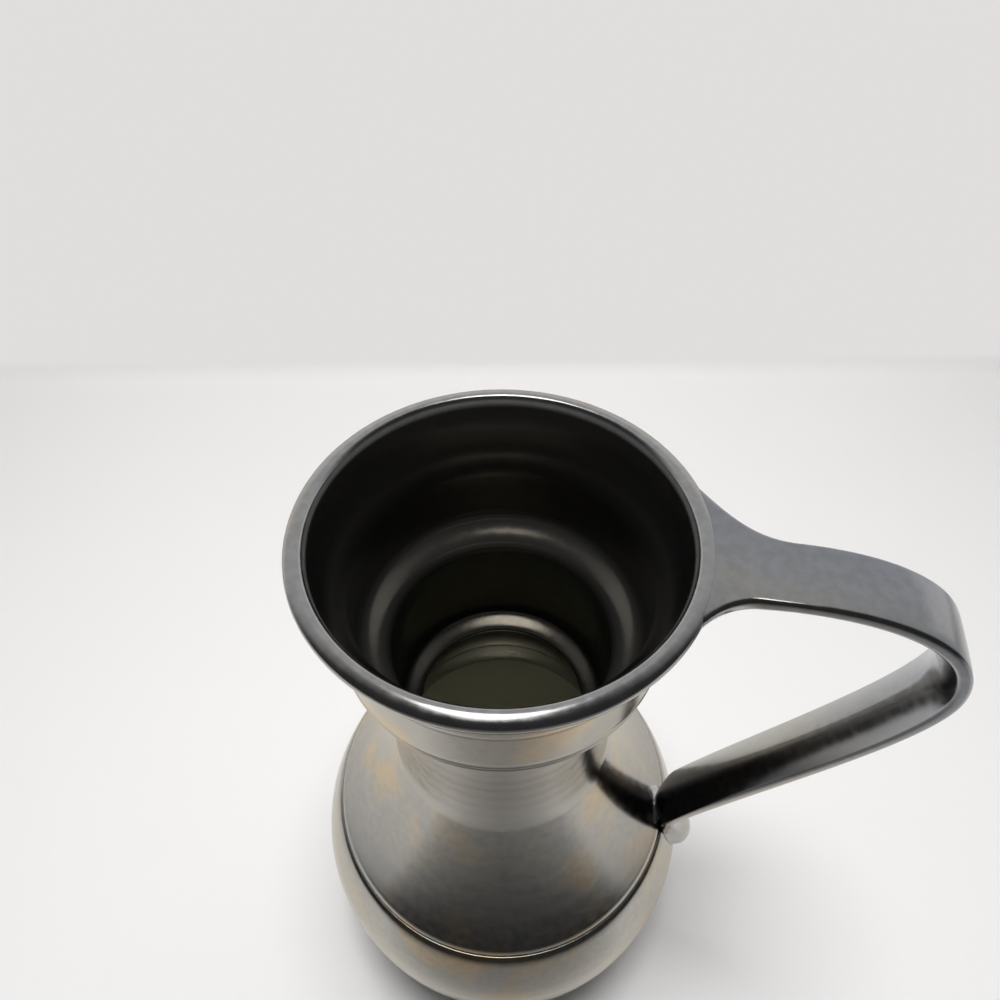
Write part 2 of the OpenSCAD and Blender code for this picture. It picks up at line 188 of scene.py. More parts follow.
class JugGlazeLooks(bpy.types.PropertyGroup):
    """Colours and finish of the lustre glaze."""

    vessel_cool: tint("Vessel cool", (0.405, 0.395, 0.378), "Vessel where its lustre film is thin")
    vessel_steel: tint("Vessel steel", (0.425, 0.41, 0.375), "Main colour of the vessel's lustre")
    vessel_gold: tint("Vessel gold", (0.54, 0.435, 0.30), "Vessel where its lustre film turns golden")
    strap_blue: tint("Strap blue", (0.345, 0.362, 0.395), "Handle where its lustre film turns blue")
    strap_steel: tint("Strap steel", (0.38, 0.384, 0.386), "Main colour of the handle's lustre")
    strap_gold: tint("Strap gold", (0.42, 0.40, 0.345), "Handle where its lustre film turns golden")
    lip: tint("Lip", (0.45, 0.45, 0.445), "Lip, where the lustre film is worn pale")
    # Painted highlight: a much paler lustre for the coil above the heel, so that its hollow shows a
    # bright line
    painted_highlight: tint("Painted_highlight coil", (0.68, 0.68, 0.67), "Coil above the heel, which a finger wiped bright")
    # Painted shade: dark colour mixed onto the handle's inner face, on its lower run and tail, where it
    # faces the vessel
    painted_shade: tint("Painted_shade", (0.12, 0.12, 0.125), "Handle where the kiln's smoke darkened it")
    inner: tint("Inner glaze", (0.014, 0.0138, 0.013), "Colour of the black glaze inside")
    # Darker black that the inside shows at the lip and down the neck
    inner_dark: tint("Inner dark", (0.004, 0.004, 0.004), "Colour of the black glaze where it lies thick")
    # Painted reflection: a pale colour deep in the belly that stands in for light reflected by the glossy
    # inside
    deep_painted_reflection: tint("Deep glaze", (0.36, 0.36, 0.28), "Colour of the thin glaze deep inside the belly")
    sheen: tint("Sheen", (1.0, 0.92, 0.74), "Tint of the gloss on the black glaze")
    edge: tint("Edge", (0.94, 0.91, 0.85), "Tint of the vessel's lustre where it turns away")
    clay: tint("Clay", (0.33, 0.22, 0.14), "Colour of the bare clay under the foot ring")
    roughness: plain("Roughness", 0.2, "Middle roughness of the glaze", 0, 1)


class JugStageSettings(bpy.types.PropertyGroup):
    """Camera, floor and lights."""

    lens: plain("Lens", 27, "Focal length in mm, on a sensor 36 mm wide", 10, 200)
    camera_out: length("Camera out", 103.7, "Distance of the camera from the jug's axis")
    camera_z: length("Camera height", 349.65, "Height of the camera above the table")
    camera_azimuth: angle("Azimuth", 12.9, "Turn of the camera round the jug, from -Y towards +X")
    camera_pitch: angle("Pitch", 47.72, "How far the camera looks down")
    camera_roll: angle("Roll", -0.5, "Turn of the picture about its middle")
    wall_y: length("Wall distance", 360, "Distance of the backdrop's wall behind the jug's axis")
    wall_h: length("Wall height", 420, "Height of the backdrop's wall")
    cove: length("Cove", 25, "Radius of the curve between the floor and the wall")
    floor_w: length("Floor width", 2400, "Width of the floor and of the wall")
    floor_colour: tint("Floor", (0.84, 0.83, 0.82), "Colour of the floor and the backdrop")
    wall_tone: tint("Wall tone", (0.75, 0.73, 0.725), "Even tone that the backdrop shows")
    room_dim: plain("Room", 0.04, "Brightness of the room on the camera's side", 0, 2)
    room_pale: plain("Far side", 0.55, "Brightness of the far side above the backdrop", 0, 2)
    softbox_w: length("Softbox width", 340, "Width of the round softbox over the jug")
    softbox_power: plain("Softbox power", 1.2, "Watts of the softbox over the jug", 0, 100)
    fill_w: length("Fill width", 360, "Width of the round lamp that the glaze doesn't reflect")
    fill_power: plain("Fill power", 9.5, "Watts of the lamp that the glaze doesn't reflect", 0, 100)


def vessel():
    return bpy.context.scene.jug_vessel


def strap():
    return bpy.context.scene.jug_handle


def glaze():
    return bpy.context.scene.jug_glaze


def stage():
    return bpy.context.scene.jug_stage


# Curves in a plane

# How closely a round follows its corner: about 0.55 is a circle's round
HUG = 0.6


def leaning(a):
    """Unit vector that leans by the angle a from plumb, outwards."""
    return Vector((math.sin(a), math.cos(a)))


def left_of(v):
    return Vector((-v.y, v.x))


def bezier_point(p, t):
    s = 1 - t
    return s**3 * p[0] + 3 * s * s * t * p[1] + 3 * s * t * t * p[2] + t**3 * p[3]


def bezier_slope(p, t):
    s = 1 - t
    d = s * s * (p[1] - p[0]) + 2 * s * t * (p[2] - p[1]) + t * t * (p[3] - p[2])
    return d.normalized()


def bezier(p, steps, start=0.0, end=1.0):
    return [bezier_point(p, start + (end - start) * i / steps) for i in range(steps + 1)]


def rounded_corner(before, corner, after, steps):
    """A round from one point to another that hugs the corner between them."""
    return bezier([before, before.lerp(corner, HUG), after.lerp(corner, HUG), after], steps)


def arc(centre, radius, start, end, steps):
    turns = [math.radians(start + (end - start) * i / steps) for i in range(steps + 1)]
    return [centre + radius * Vector((math.cos(a), math.sin(a))) for a in turns]


def squared(c, power):
    """A sine or cosine bent so that a circle turns into a squarer bead."""
    return math.copysign(abs(c) ** (2 / power), c)


def joined(*runs):
    """One run of points, without the points that repeat where two runs meet."""
    points = []
    for run in runs:
        for p in run:
            if not points or (p - points[-1]).length > SAME_POINT:
                points.append(Vector(p))
    return points


def tagged(outside, turning, inside):
    """A profile's points with a share of inner glaze: none outside, all inside."""
    count = len(turning)
    ramp = [(p, eased((i + 1) / (count + 1))) for i, p in enumerate(turning)]
    points = [(p, 0.0) for p in outside] + ramp + [(p, 1.0) for p in inside]
    return [
        pair for k, pair in enumerate(points)
        if not k or (pair[0] - points[k - 1][0]).length > SAME_POINT
    ]


def eased(t):
    return t * t * (3 - 2 * t)


def eased_from(t, start, reach):
    """0 up to the start, then smoothly up to 1 over the reach."""
    return eased(min(1, max(0, (t - start) / reach)))


# Profiles of the thrown sections


class VesselCurves:
    """The curves that the three thrown profiles share, worked out from the sizes."""

    # Steps along a long curve, a round, a line's edge and a small corner
    LONG = 40
    SHORT = 12
    EDGE = 8
    CORNER = 6
    # First point of the lip's bead that carries the black glaze
    BLACK_FROM = 31
    # Places along their curves at which the belly's wall rolls into the groove and rounds into
    # the foot ring, and the neck's wall leaves the crease
    ROLL_T = 0.16
    ANKLE_T = 0.93
    NECK_T = 0.08
    # Where the shoulder's wall rounds into the groove, in widths of the groove
    RIM_REACH = 1.4
    # Leads of the curves, as shares of their heights
    OVER_LEAD = 0.36
    UNDER_LEAD = 0.47
    NECK_LEAD = 0.35
    STEP_LEAD = 0.6
    FLARE_LEAD = 0.48
    # Leads into the foot ring, the rib, the lip and the mouth, as leans and lengths
    ANKLE_LEAN = math.radians(45)
    RIB_LEAN = math.radians(40)
    RIB_LEAD = 4 * MM
    LIP_LEAN = math.radians(29)
    LIP_LEAD = 4.6 * MM
    MOUTH_LEAN = math.radians(24)
    MOUTH_LEAD = 4 * MM
    # Stretches of the collar's bead, its rib and the lip's bead, in degrees from level
    BEAD_ARC = (-31, 25)
    RIB_ARC = (-40, 45)
    LIP_ARC = (-70, 195)
    # Drop of the rib's middle below the collar's edge, in radii of the rib
    RIB_DROP = 0.75
    # Height at which the line above the bead is deepest, as a share of its width
    LINE_LOW = 1 / 8
    # Points up the plain collar, as shares of its height
    COLLAR_STEPS = (0.02, 0.2, 0.5, 0.8, 0.98)
    # Half the height and the lead of the ledge, of the sill and of the sill's underside
    LEDGE = (5.5 * MM, 7.1 * MM)
    SILL = (1.55 * MM, 1.3 * MM)
    SILL_UNDER = (2.9 * MM, 2.6 * MM)
    # Share of the lip's widest radius past which its bead is outside
    LIP_OUTER = 0.97

    def __init__(self, v):
        self.crease = Vector((v.neck_base_r, v.crease_z))
        self.groove = Vector((v.groove_r, v.groove_z))
        self.belly = Vector((v.belly_r, v.belly_z))
        self.slope = (self.groove - self.crease).normalized()
        self.out = left_of(self.slope)
        self.wall = v.wall
        bow = v.shoulder_bow * 4 / 3 * self.out
        run = self.groove - self.crease
        self.cone = [
            self.crease, self.crease + run / 3 + bow, self.crease + run * 2 / 3 + bow, self.groove]
        self.joint_t = v.crease_fillet / run.length
        self.rim_t = 1 - self.RIM_REACH * v.groove_w / run.length
        self.joint = bezier_point(self.cone, self.joint_t)
        self.groove_floor = self.groove - v.groove_depth * self.out
        self.draw_belly(v)
        self.draw_neck(v)
        self.draw_mouth(v)
        self.draw_inside(v)

    def inset(self, p):
        return p - self.wall * self.out

    def draw_belly(self, v):
        """The belly's wall over and under its widest part, outside and inside."""
        lead = (v.groove_z - v.belly_z) * self.OVER_LEAD
        over = Vector((math.sin(v.belly_lean), -math.cos(v.belly_lean)))
        inner = self.belly - Vector((v.wall, 0))
        inner_groove = self.inset(self.groove)
        up = Vector((0, lead))
        self.over = [self.groove, self.groove + lead * over, self.belly + up, self.belly]
        self.inner_over = [inner_groove, inner_groove + lead * over, inner + up, inner]
        down = Vector((0, (v.belly_z - v.foot_h) * self.UNDER_LEAD))
        ankle = Vector((v.foot_r + v.foot_round, v.foot_h))
        sweep = ankle + v.ankle_sweep * leaning(self.ANKLE_LEAN)
        self.under = [self.belly, self.belly - down, sweep, ankle]
        self.floor_z = v.base_recess + v.floor_t
        cove = Vector((ankle.x + v.wall, self.floor_z))
        floor_edge = Vector((v.foot_r - 2 * v.wall, self.floor_z))
        self.inner_under = [inner, inner - down, cove, floor_edge]

    def draw_neck(self, v):
        """The neck, its step out to the collar, and the rib, bead and line at the collar's foot."""
        collar_z = v.height - v.collar_h
        top = Vector((v.neck_r, collar_z - v.neck_step_h))
        lead = (top.y - v.crease_z) * self.NECK_LEAD
        self.neck = [
            self.crease, self.crease + lead * leaning(-v.neck_lean), top - Vector((0, lead)), top]
        bead_c = Vector((v.collar_r + v.bead_proud - v.bead_r, collar_z + v.bead_r))
        self.bead = arc(bead_c, v.bead_r, *self.BEAD_ARC, self.SHORT)
        rib_c = Vector((v.collar_r - v.rib_inset - v.rib_r, collar_z - self.RIB_DROP * v.rib_r))
        self.rib = arc(rib_c, v.rib_r, *self.RIB_ARC, self.SHORT)
        undercut = self.RIB_LEAD * leaning(self.RIB_LEAN)
        rise = Vector((0, v.neck_step_h * self.STEP_LEAD))
        self.step = [top, top + rise, self.rib[0] - undercut, self.rib[0]]
        line_z = collar_z + 2 * v.bead_r
        self.line = Vector((v.collar_r - v.bead_line_depth, line_z + v.bead_line_w * self.LINE_LOW))
        self.collar_foot = Vector((v.collar_r, line_z + v.bead_line_w))

    def draw_mouth(self, v):
        """The collar's soft line, the flare and the lip."""
        self.soft_z = v.height - v.soft_line_drop
        self.soft_line = [
            Vector((
                v.collar_r - v.soft_line_depth * (1 - math.cos(2 * math.pi * i / self.SHORT)) / 2,
                self.soft_z + v.soft_line_w * (i / self.SHORT - 0.5),
            ))
            for i in range(self.SHORT + 1)
        ]
        lip_c = Vector((v.mouth_r - v.lip_r, v.height - v.lip_r))
        bead = arc(Vector((0, 0)), 1, *self.LIP_ARC, 3 * self.SHORT)
        tilt = Matrix.Rotation(-v.lip_tilt, 2)
        self.lip = [lip_c + v.lip_r * tilt @ Vector([squared(c, v.lip_power) for c in q]) for q in bead]
        foot, brim = self.soft_line[-1], self.lip[0]
        lift = Vector((0, (lip_c.y - foot.y) * self.FLARE_LEAD))
        self.flare = [foot, foot + lift, brim - self.LIP_LEAD * leaning(self.LIP_LEAN), brim]

    def draw_inside(self, v):
        """Inside the mouth: the flare, the ledge at the collar's foot and the sill at the neck's foot."""
        inner_collar_r = v.collar_r - v.wall
        edge, foot = self.lip[-1], Vector((inner_collar_r, self.soft_z - v.wall))
        lift = Vector((0, (edge.y - foot.y) * self.FLARE_LEAD))
        self.inner_flare = [
            edge, edge - self.MOUTH_LEAD * leaning(self.MOUTH_LEAN), foot + lift, foot]
        self.ledge = self.shelf(inner_collar_r, v.inner_neck_r, v.ledge_z, *self.LEDGE)
        self.sill = self.shelf(v.inner_neck_r, v.sill_r, v.sill_z, *self.SILL)
        under_z = v.sill_z - self.SILL[0] - self.SILL_UNDER[0]
        self.sill_under = self.shelf(v.sill_r, v.neck_base_r - v.wall, under_z, *self.SILL_UNDER)

    def shelf(self, outer_r, inner_r, z, half, lead):
        """A soft ledge inside the wall; a longer lead makes it flatter."""
        top, low = Vector((outer_r, z + half)), Vector((inner_r, z - half))
        return bezier([top, top - Vector((0, lead)), low + Vector((0, lead)), low], self.LONG)

    def lower_body(self, v):
        """From the middle of the base, round the outside, to the middle of the floor."""
        r = v.foot_round
        recess_r, recess_z = v.foot_r - v.foot_face - 2 * r, v.base_recess

        def corner(*places):
            return rounded_corner(*(Vector(p) for p in places), self.CORNER)

        outside = joined(
            [Vector((0, recess_z)), Vector((recess_r / 2, recess_z))],
            corner((recess_r - r, recess_z), (recess_r, recess_z), (recess_r, recess_z - r)),
            corner((recess_r, r), (recess_r, 0), (recess_r + r, 0)),
            corner((v.foot_r - r, 0), (v.foot_r, 0), (v.foot_r, r)),
            rounded_corner(
                Vector((v.foot_r, v.foot_h - 2 * r)), Vector((v.foot_r, v.foot_h)),
                bezier_point(self.under, self.ANKLE_T), self.EDGE),
            bezier(self.under, self.LONG, self.ANKLE_T, 0),
            bezier(self.over, self.LONG, 1, self.ROLL_T),
            rounded_corner(
                bezier_point(self.over, self.ROLL_T), self.groove, self.groove_floor, self.SHORT),
        )
        inside = joined(
            bezier(self.inner_over, self.LONG),
            bezier(self.inner_under, self.LONG),
            [Vector((self.inner_under[3].x / 2, self.floor_z)), Vector((0, self.floor_z))],
        )
        return tagged(outside, [], inside)

    def shoulder(self, v):
        """Down the outside from the joint under the neck, and back up the inside."""
        outside = bezier(self.cone, self.LONG, self.joint_t, self.rim_t)
        rim_corner = self.groove - v.groove_w / 2 * self.slope
        rim = rounded_corner(outside[-1], rim_corner, self.groove_floor, self.EDGE)
        inside = [
            self.inset(p) - v.collared * math.sin(math.pi * i / self.LONG) * self.out
            for i, p in enumerate(bezier(self.cone, self.LONG, 1, self.joint_t))
        ]
        return tagged(joined(outside, rim), [], inside)

    def neck_and_mouth(self, v):
        """Up the outside from the shoulder to the lip, and down the inside."""
        fill_t = self.joint_t * v.crease_fill / v.crease_fillet
        neck_foot = bezier_point(self.neck, self.NECK_T)
        throat, end = self.sill_under[-1], self.inset(self.joint)
        throat_drop = Vector((0, v.crease_fillet))
        throat_run = [throat, throat - throat_drop, end - v.crease_fillet * self.slope, end]
        outside = joined(
            bezier(self.cone, self.CORNER, self.joint_t, fill_t),
            rounded_corner(bezier_point(self.cone, fill_t), self.crease, neck_foot, self.SHORT),
            bezier(self.neck, self.LONG, self.NECK_T, 1),
            bezier(self.step, self.LONG),
            self.rib,
            self.bead,
            rounded_corner(self.bead[-1], self.line, self.collar_foot, self.EDGE),
            [self.collar_foot.lerp(self.soft_line[0], t) for t in self.COLLAR_STEPS],
            self.soft_line,
            bezier(self.flare, self.LONG),
            self.lip[: self.BLACK_FROM],
        )
        inside = joined(
            bezier(self.inner_flare, self.LONG),
            self.ledge,
            self.sill,
            self.sill_under,
            bezier(throat_run, self.SHORT),
        )
        return tagged(outside, self.lip[self.BLACK_FROM :], inside)

    def outside(self):
        """The outside from the foot up to the lip, as radius and height, rising."""
        widest = self.lip[len(self.lip) // 3].x
        run = joined(
            bezier(self.under, self.LONG, 1, 0),
            bezier(self.over, self.LONG, 1, 0),
            bezier(self.cone, self.LONG, 1, 0),
            bezier(self.neck, self.LONG),
            bezier(self.step, self.LONG),
            self.rib,
            self.bead,
            [self.collar_foot],
            self.soft_line,
            bezier(self.flare, self.LONG),
            [p for p in self.lip if p.x >= widest * self.LIP_OUTER],
        )
        rising = [run[0]]
        for p in run[1:]:
            if p.y > rising[-1].y:
                rising.append(p)
        return rising


def skin_radius(outside, z):
    """Radius of the vessel's outside at the height z."""
    for low, high in zip(outside, outside[1:]):
        if low.y <= z <= high.y:
            return low.x + (high.x - low.x) * (z - low.y) / (high.y - low.y)
    return outside[0].x if z < outside[0].y else outside[-1].x


# Node helpers


def add_node(tree, kind, x, y, **settings):
    """A node at a place in its tree, with its settings and, by socket name, its values."""
    node = tree.nodes.new(kind)
    node.location = (x, y)
    for name, value in settings.items():
        if hasattr(node, name):
            setattr(node, name, value)
        else:
            node.inputs[name].default_value = value
    return node


def link(tree, source, output, target, target_input):
    tree.links.new(source.outputs[output], target.inputs[target_input])


def ranged(tree, x, y, source, low, high, to_low, to_high):
    """The source socket's value, smoothly from one range to another."""
    node = add_node(tree, "ShaderNodeMapRange", x, y, interpolation_type="SMOOTHSTEP")
    for name, value in (("From Min", low), ("From Max", high), ("To Min", to_low), ("To Max", to_high)):
        node.inputs[name].default_value = value
    tree.links.new(source, node.inputs["Value"])
    return node.outputs["Result"]


def mixed(tree, x, y, factor, first, colour):
    """The first colour socket, mixed with a colour by a factor socket."""
    node = add_node(tree, "ShaderNodeMix", x, y, data_type="RGBA")
    tree.links.new(factor, node.inputs["Factor"])
    tree.links.new(first, node.inputs[6])
    node.inputs[7].default_value = (*colour, 1)
    return node.outputs[2]


def colour_ramp(tree, x, y, factor, stops):
    """The colour that a factor socket finds among stops, each a place from 0 to 1 and a colour."""
    node = add_node(tree, "ShaderNodeValToRGB", x, y)
    elements = node.color_ramp.elements
    for element, (place, colour) in zip(elements, (stops[0], stops[-1])):
        element.position = place
        element.color = (*colour, 1)
    for place, colour in stops[1:-1]:
        elements.new(place).color = (*colour, 1)
    tree.links.new(factor, node.inputs["Fac"])
    return node.outputs["Color"]


# Geometry Nodes: a profile turned on the wheel

# Radius of the circle that the profile is swept along; the profile is moved in by as much
SPIN_R = 1 * MM
# Scale of the wall's wander, and how far it shifts the throwing rings, in radians
WANDER_SCALE = 28
RING_SHIFT = 9
# An edge that turns more than this stays hard
HARD_TURN = math.radians(42)
INNER_GLAZE = "inner_glaze"
# Attribute that holds each handle point's share of the painted shade
PAINTED_SHADE = "painted_shade"


def thrown_section_tree():
    """Turns the input's edges round Z, and gives the wall throwing rings and a slight wobble."""
    tree = bpy.data.node_groups.new("Thrown Section", "GeometryNodeTree")
    sockets = (
        ("Profile", "INPUT", "NodeSocketGeometry"),
        ("Segments", "INPUT", "NodeSocketInt"),
        ("Ring Depth", "INPUT", "NodeSocketFloat"),
        ("Ring Pitch", "INPUT", "NodeSocketFloat"),
        ("Wobble", "INPUT", "NodeSocketFloat"),
        ("Glaze", "INPUT", "NodeSocketMaterial"),
        ("Section", "OUTPUT", "NodeSocketGeometry"),
    )
    for name, way, kind in sockets:
        tree.interface.new_socket(name=name, in_out=way, socket_type=kind)
    start = add_node(tree, "NodeGroupInput", -1200, 0)
    end = add_node(tree, "NodeGroupOutput", 1200, 0)
    to_curve = add_node(tree, "GeometryNodeMeshToCurve", -1000, 0)
    wheel = add_node(tree, "GeometryNodeCurvePrimitiveCircle", -1000, -200, mode="RADIUS", Radius=SPIN_R)
    turn = add_node(tree, "GeometryNodeCurveToMesh", -800, 0)
    weld = add_node(tree, "GeometryNodeMergeByDistance", -600, 0, Distance=SAME_POINT)
    link(tree, start, "Profile", to_curve, "Mesh")
    link(tree, start, "Segments", wheel, "Resolution")
    link(tree, wheel, "Curve", turn, "Curve")
    link(tree, to_curve, "Curve", turn, "Profile Curve")
    link(tree, turn, "Mesh", weld, "Geometry")

    place = add_node(tree, "GeometryNodeInputPosition", -1000, -500)
    parts = add_node(tree, "ShaderNodeSeparateXYZ", -800, -500)
    turns = add_node(tree, "ShaderNodeMath", -600, -500, operation="DIVIDE")
    phase = add_node(tree, "ShaderNodeMath", -450, -500, operation="MULTIPLY")
    phase.inputs[1].default_value = 2 * math.pi
    wander = add_node(tree, "ShaderNodeTexNoise", -800, -700, Scale=WANDER_SCALE, Detail=1)
    shift = add_node(tree, "ShaderNodeMath", -450, -700, operation="MULTIPLY_ADD")
    shift.inputs[1].default_value = RING_SHIFT
    wave = add_node(tree, "ShaderNodeMath", -150, -500, operation="SINE")
    rings = add_node(tree, "ShaderNodeMath", 0, -500, operation="MULTIPLY")
    lean = add_node(tree, "ShaderNodeMath", -450, -900, operation="SUBTRACT")
    lean.inputs[1].default_value = 0.5
    drift = add_node(tree, "ShaderNodeMath", 0, -700, operation="MULTIPLY")
    total = add_node(tree, "ShaderNodeMath", 150, -600, operation="ADD")
    normal = add_node(tree, "GeometryNodeInputNormal", 150, -800)
    offset = add_node(tree, "ShaderNodeVectorMath", 300, -600, operation="SCALE")
    link(tree, place, "Position", parts, "Vector")
    link(tree, parts, "Z", turns, 0)
    link(tree, start, "Ring Pitch", turns, 1)
    link(tree, turns, "Value", phase, 0)
    link(tree, place, "Position", wander, "Vector")
    link(tree, wander, "Fac", shift, 0)
    link(tree, phase, "Value", shift, 2)
    link(tree, shift, "Value", wave, 0)
    link(tree, wave, "Value", rings, 0)
    link(tree, start, "Ring Depth", rings, 1)
    link(tree, wander, "Fac", lean, 0)
    link(tree, lean, "Value", drift, 0)
    link(tree, start, "Wobble", drift, 1)
    link(tree, rings, "Value", total, 0)
    link(tree, drift, "Value", total, 1)
    link(tree, normal, "Normal", offset, "Vector")
    link(tree, total, "Value", offset, "Scale")

    move = add_node(tree, "GeometryNodeSetPosition", 450, 0)
    smooth = add_node(tree, "GeometryNodeSetShadeSmooth", 600, 0)
    realize = add_node(tree, "GeometryNodeRealizeInstances", 800, 0)
    paint = add_node(tree, "GeometryNodeSetMaterial", 1000, 0)
    link(tree, weld, "Geometry", move, "Geometry")
    link(tree, offset, "Vector", move, "Offset")
    link(tree, move, "Geometry", smooth, "Geometry")
    link(tree, smooth, "Geometry", realize, "Geometry")
    link(tree, realize, "Geometry", paint, "Geometry")
    link(tree, start, "Glaze", paint, "Material")
    link(tree, paint, "Geometry", end, "Section")
    return tree


def socket_id(tree, name):
    """The identifier by which a modifier's input is set."""
    for item in tree.interface.items_tree:
        if item.name == name and item.in_out == "INPUT":
            return item.identifier
    raise KeyError(name)


def thrown_section(name, points, closed, tree, material):
    """A plain mesh object turned from a profile by the tree."""
    v = vessel()
    mesh = bpy.data.meshes.new(name + "_profile")
    count = len(points)
    edges = [(i, i + 1) for i in range(count - 1)]
    if closed:
        edges.append((count - 1, 0))
    mesh.from_pydata([(p.x - SPIN_R, -p.y, 0) for p, _ in points], edges, [])
    inner = mesh.attributes.new(INNER_GLAZE, "FLOAT", "POINT")
    for item, (_, share) in zip(inner.data, points):
        item.value = share
    wheel = bpy.data.objects.new(name + "_wheel", mesh)
    bpy.context.scene.collection.objects.link(wheel)
    modifier = wheel.modifiers.new("Thrown Section", "NODES")
    modifier.node_group = tree
    values = {
        "Segments": v.segments,
        "Ring Depth": v.ring_depth,
        "Ring Pitch": v.ring_pitch,
        "Wobble": v.wobble,
        "Glaze": material,
    }
    for key, value in values.items():
        modifier[socket_id(tree, key)] = value
    graph = bpy.context.evaluated_depsgraph_get()
    turned = bpy.data.meshes.new_from_object(wheel.evaluated_get(graph))
    turned.name = name
    wheel.modifiers.remove(modifier)
    bpy.data.objects.remove(wheel)
    return finished(name, turned, material)


def finished(name, mesh, material):
    """An object for a closed mesh: outward faces, smooth but for its hard corners."""
    form = bmesh.new()
    form.from_mesh(mesh)
    bmesh.ops.recalc_face_normals(form, faces=form.faces)
    for face in form.faces:
        face.smooth = True
    for edge in form.edges:
        if len(edge.link_faces) == 2 and edge.calc_face_angle() > HARD_TURN:
            edge.smooth = False
    form.to_mesh(mesh)
    form.free()
    mesh.materials.clear()
    mesh.materials.append(material)
    piece = bpy.data.objects.new(name, mesh)
    bpy.context.scene.collection.objects.link(piece)
    return piece


def dress(piece, node):
    """Puts the piece in its CAD node's place."""
    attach(piece, "root")
    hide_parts(node)


# The handle and its coils

# Rings over the root's seat, along its fan and along each run, and tries at the heel's place
SEAT_STEPS = 10
FAN_STEPS = 28
RUN_STEPS = 56
TOUCH_STEPS = 399
# Points across the strap's outer face, in its upper and its lower corner and across its inner face
FACE_POINTS = (0, 0.2, 0.4, 0.6, 0.75)
CORNER_STEPS = 8
SIDE_STEPS = 6
BOW_STEPS = 10
# How late the inner face draws back, and the ends of its round into the side
BOW_POWER = 1.6
BOW_EDGE = 0.93
SIDE_ROUND = 0.2


def side_foot(h):
    """Where the strap's upright sides end, from -1 at its inner side to 1 at its outer."""
    return 1 - 2 * h.side_h / h.strap_t


def bow(u):
    """How far the strap's inner face draws back: 0 at its middle, 1 at its sides."""
    return abs(u) ** BOW_POWER


def strap_section(h):
    """Outline of the strap: across it, and through it from -1 at its inner side to 1 at its outer."""
    low = side_foot(h)
    corner = Vector((2 * h.strap_corner / h.strap_w, 2 * h.strap_corner / h.strap_t))
    crown = 2 * h.strap_crown / h.strap_t
    edge = 1 - crown

    def bowed(u):
        return Vector((u, (1 + low) * bow(u) - 1))

    half = joined(
        [Vector((u, 1 - crown * u * u)) for u in FACE_POINTS],
        rounded_corner(
            Vector((1 - corner.x, edge)), Vector((1, edge)), Vector((1, edge - corner.y)), CORNER_STEPS),
        rounded_corner(Vector((1, low + SIDE_ROUND)), Vector((1, low)), bowed(BOW_EDGE), SIDE_STEPS),
        [bowed(i / BOW_STEPS) for i in range(BOW_STEPS - 1, -1, -1)],
    )
    return half + [Vector((-p.x, p.y)) for p in half[-2:0:-1]]


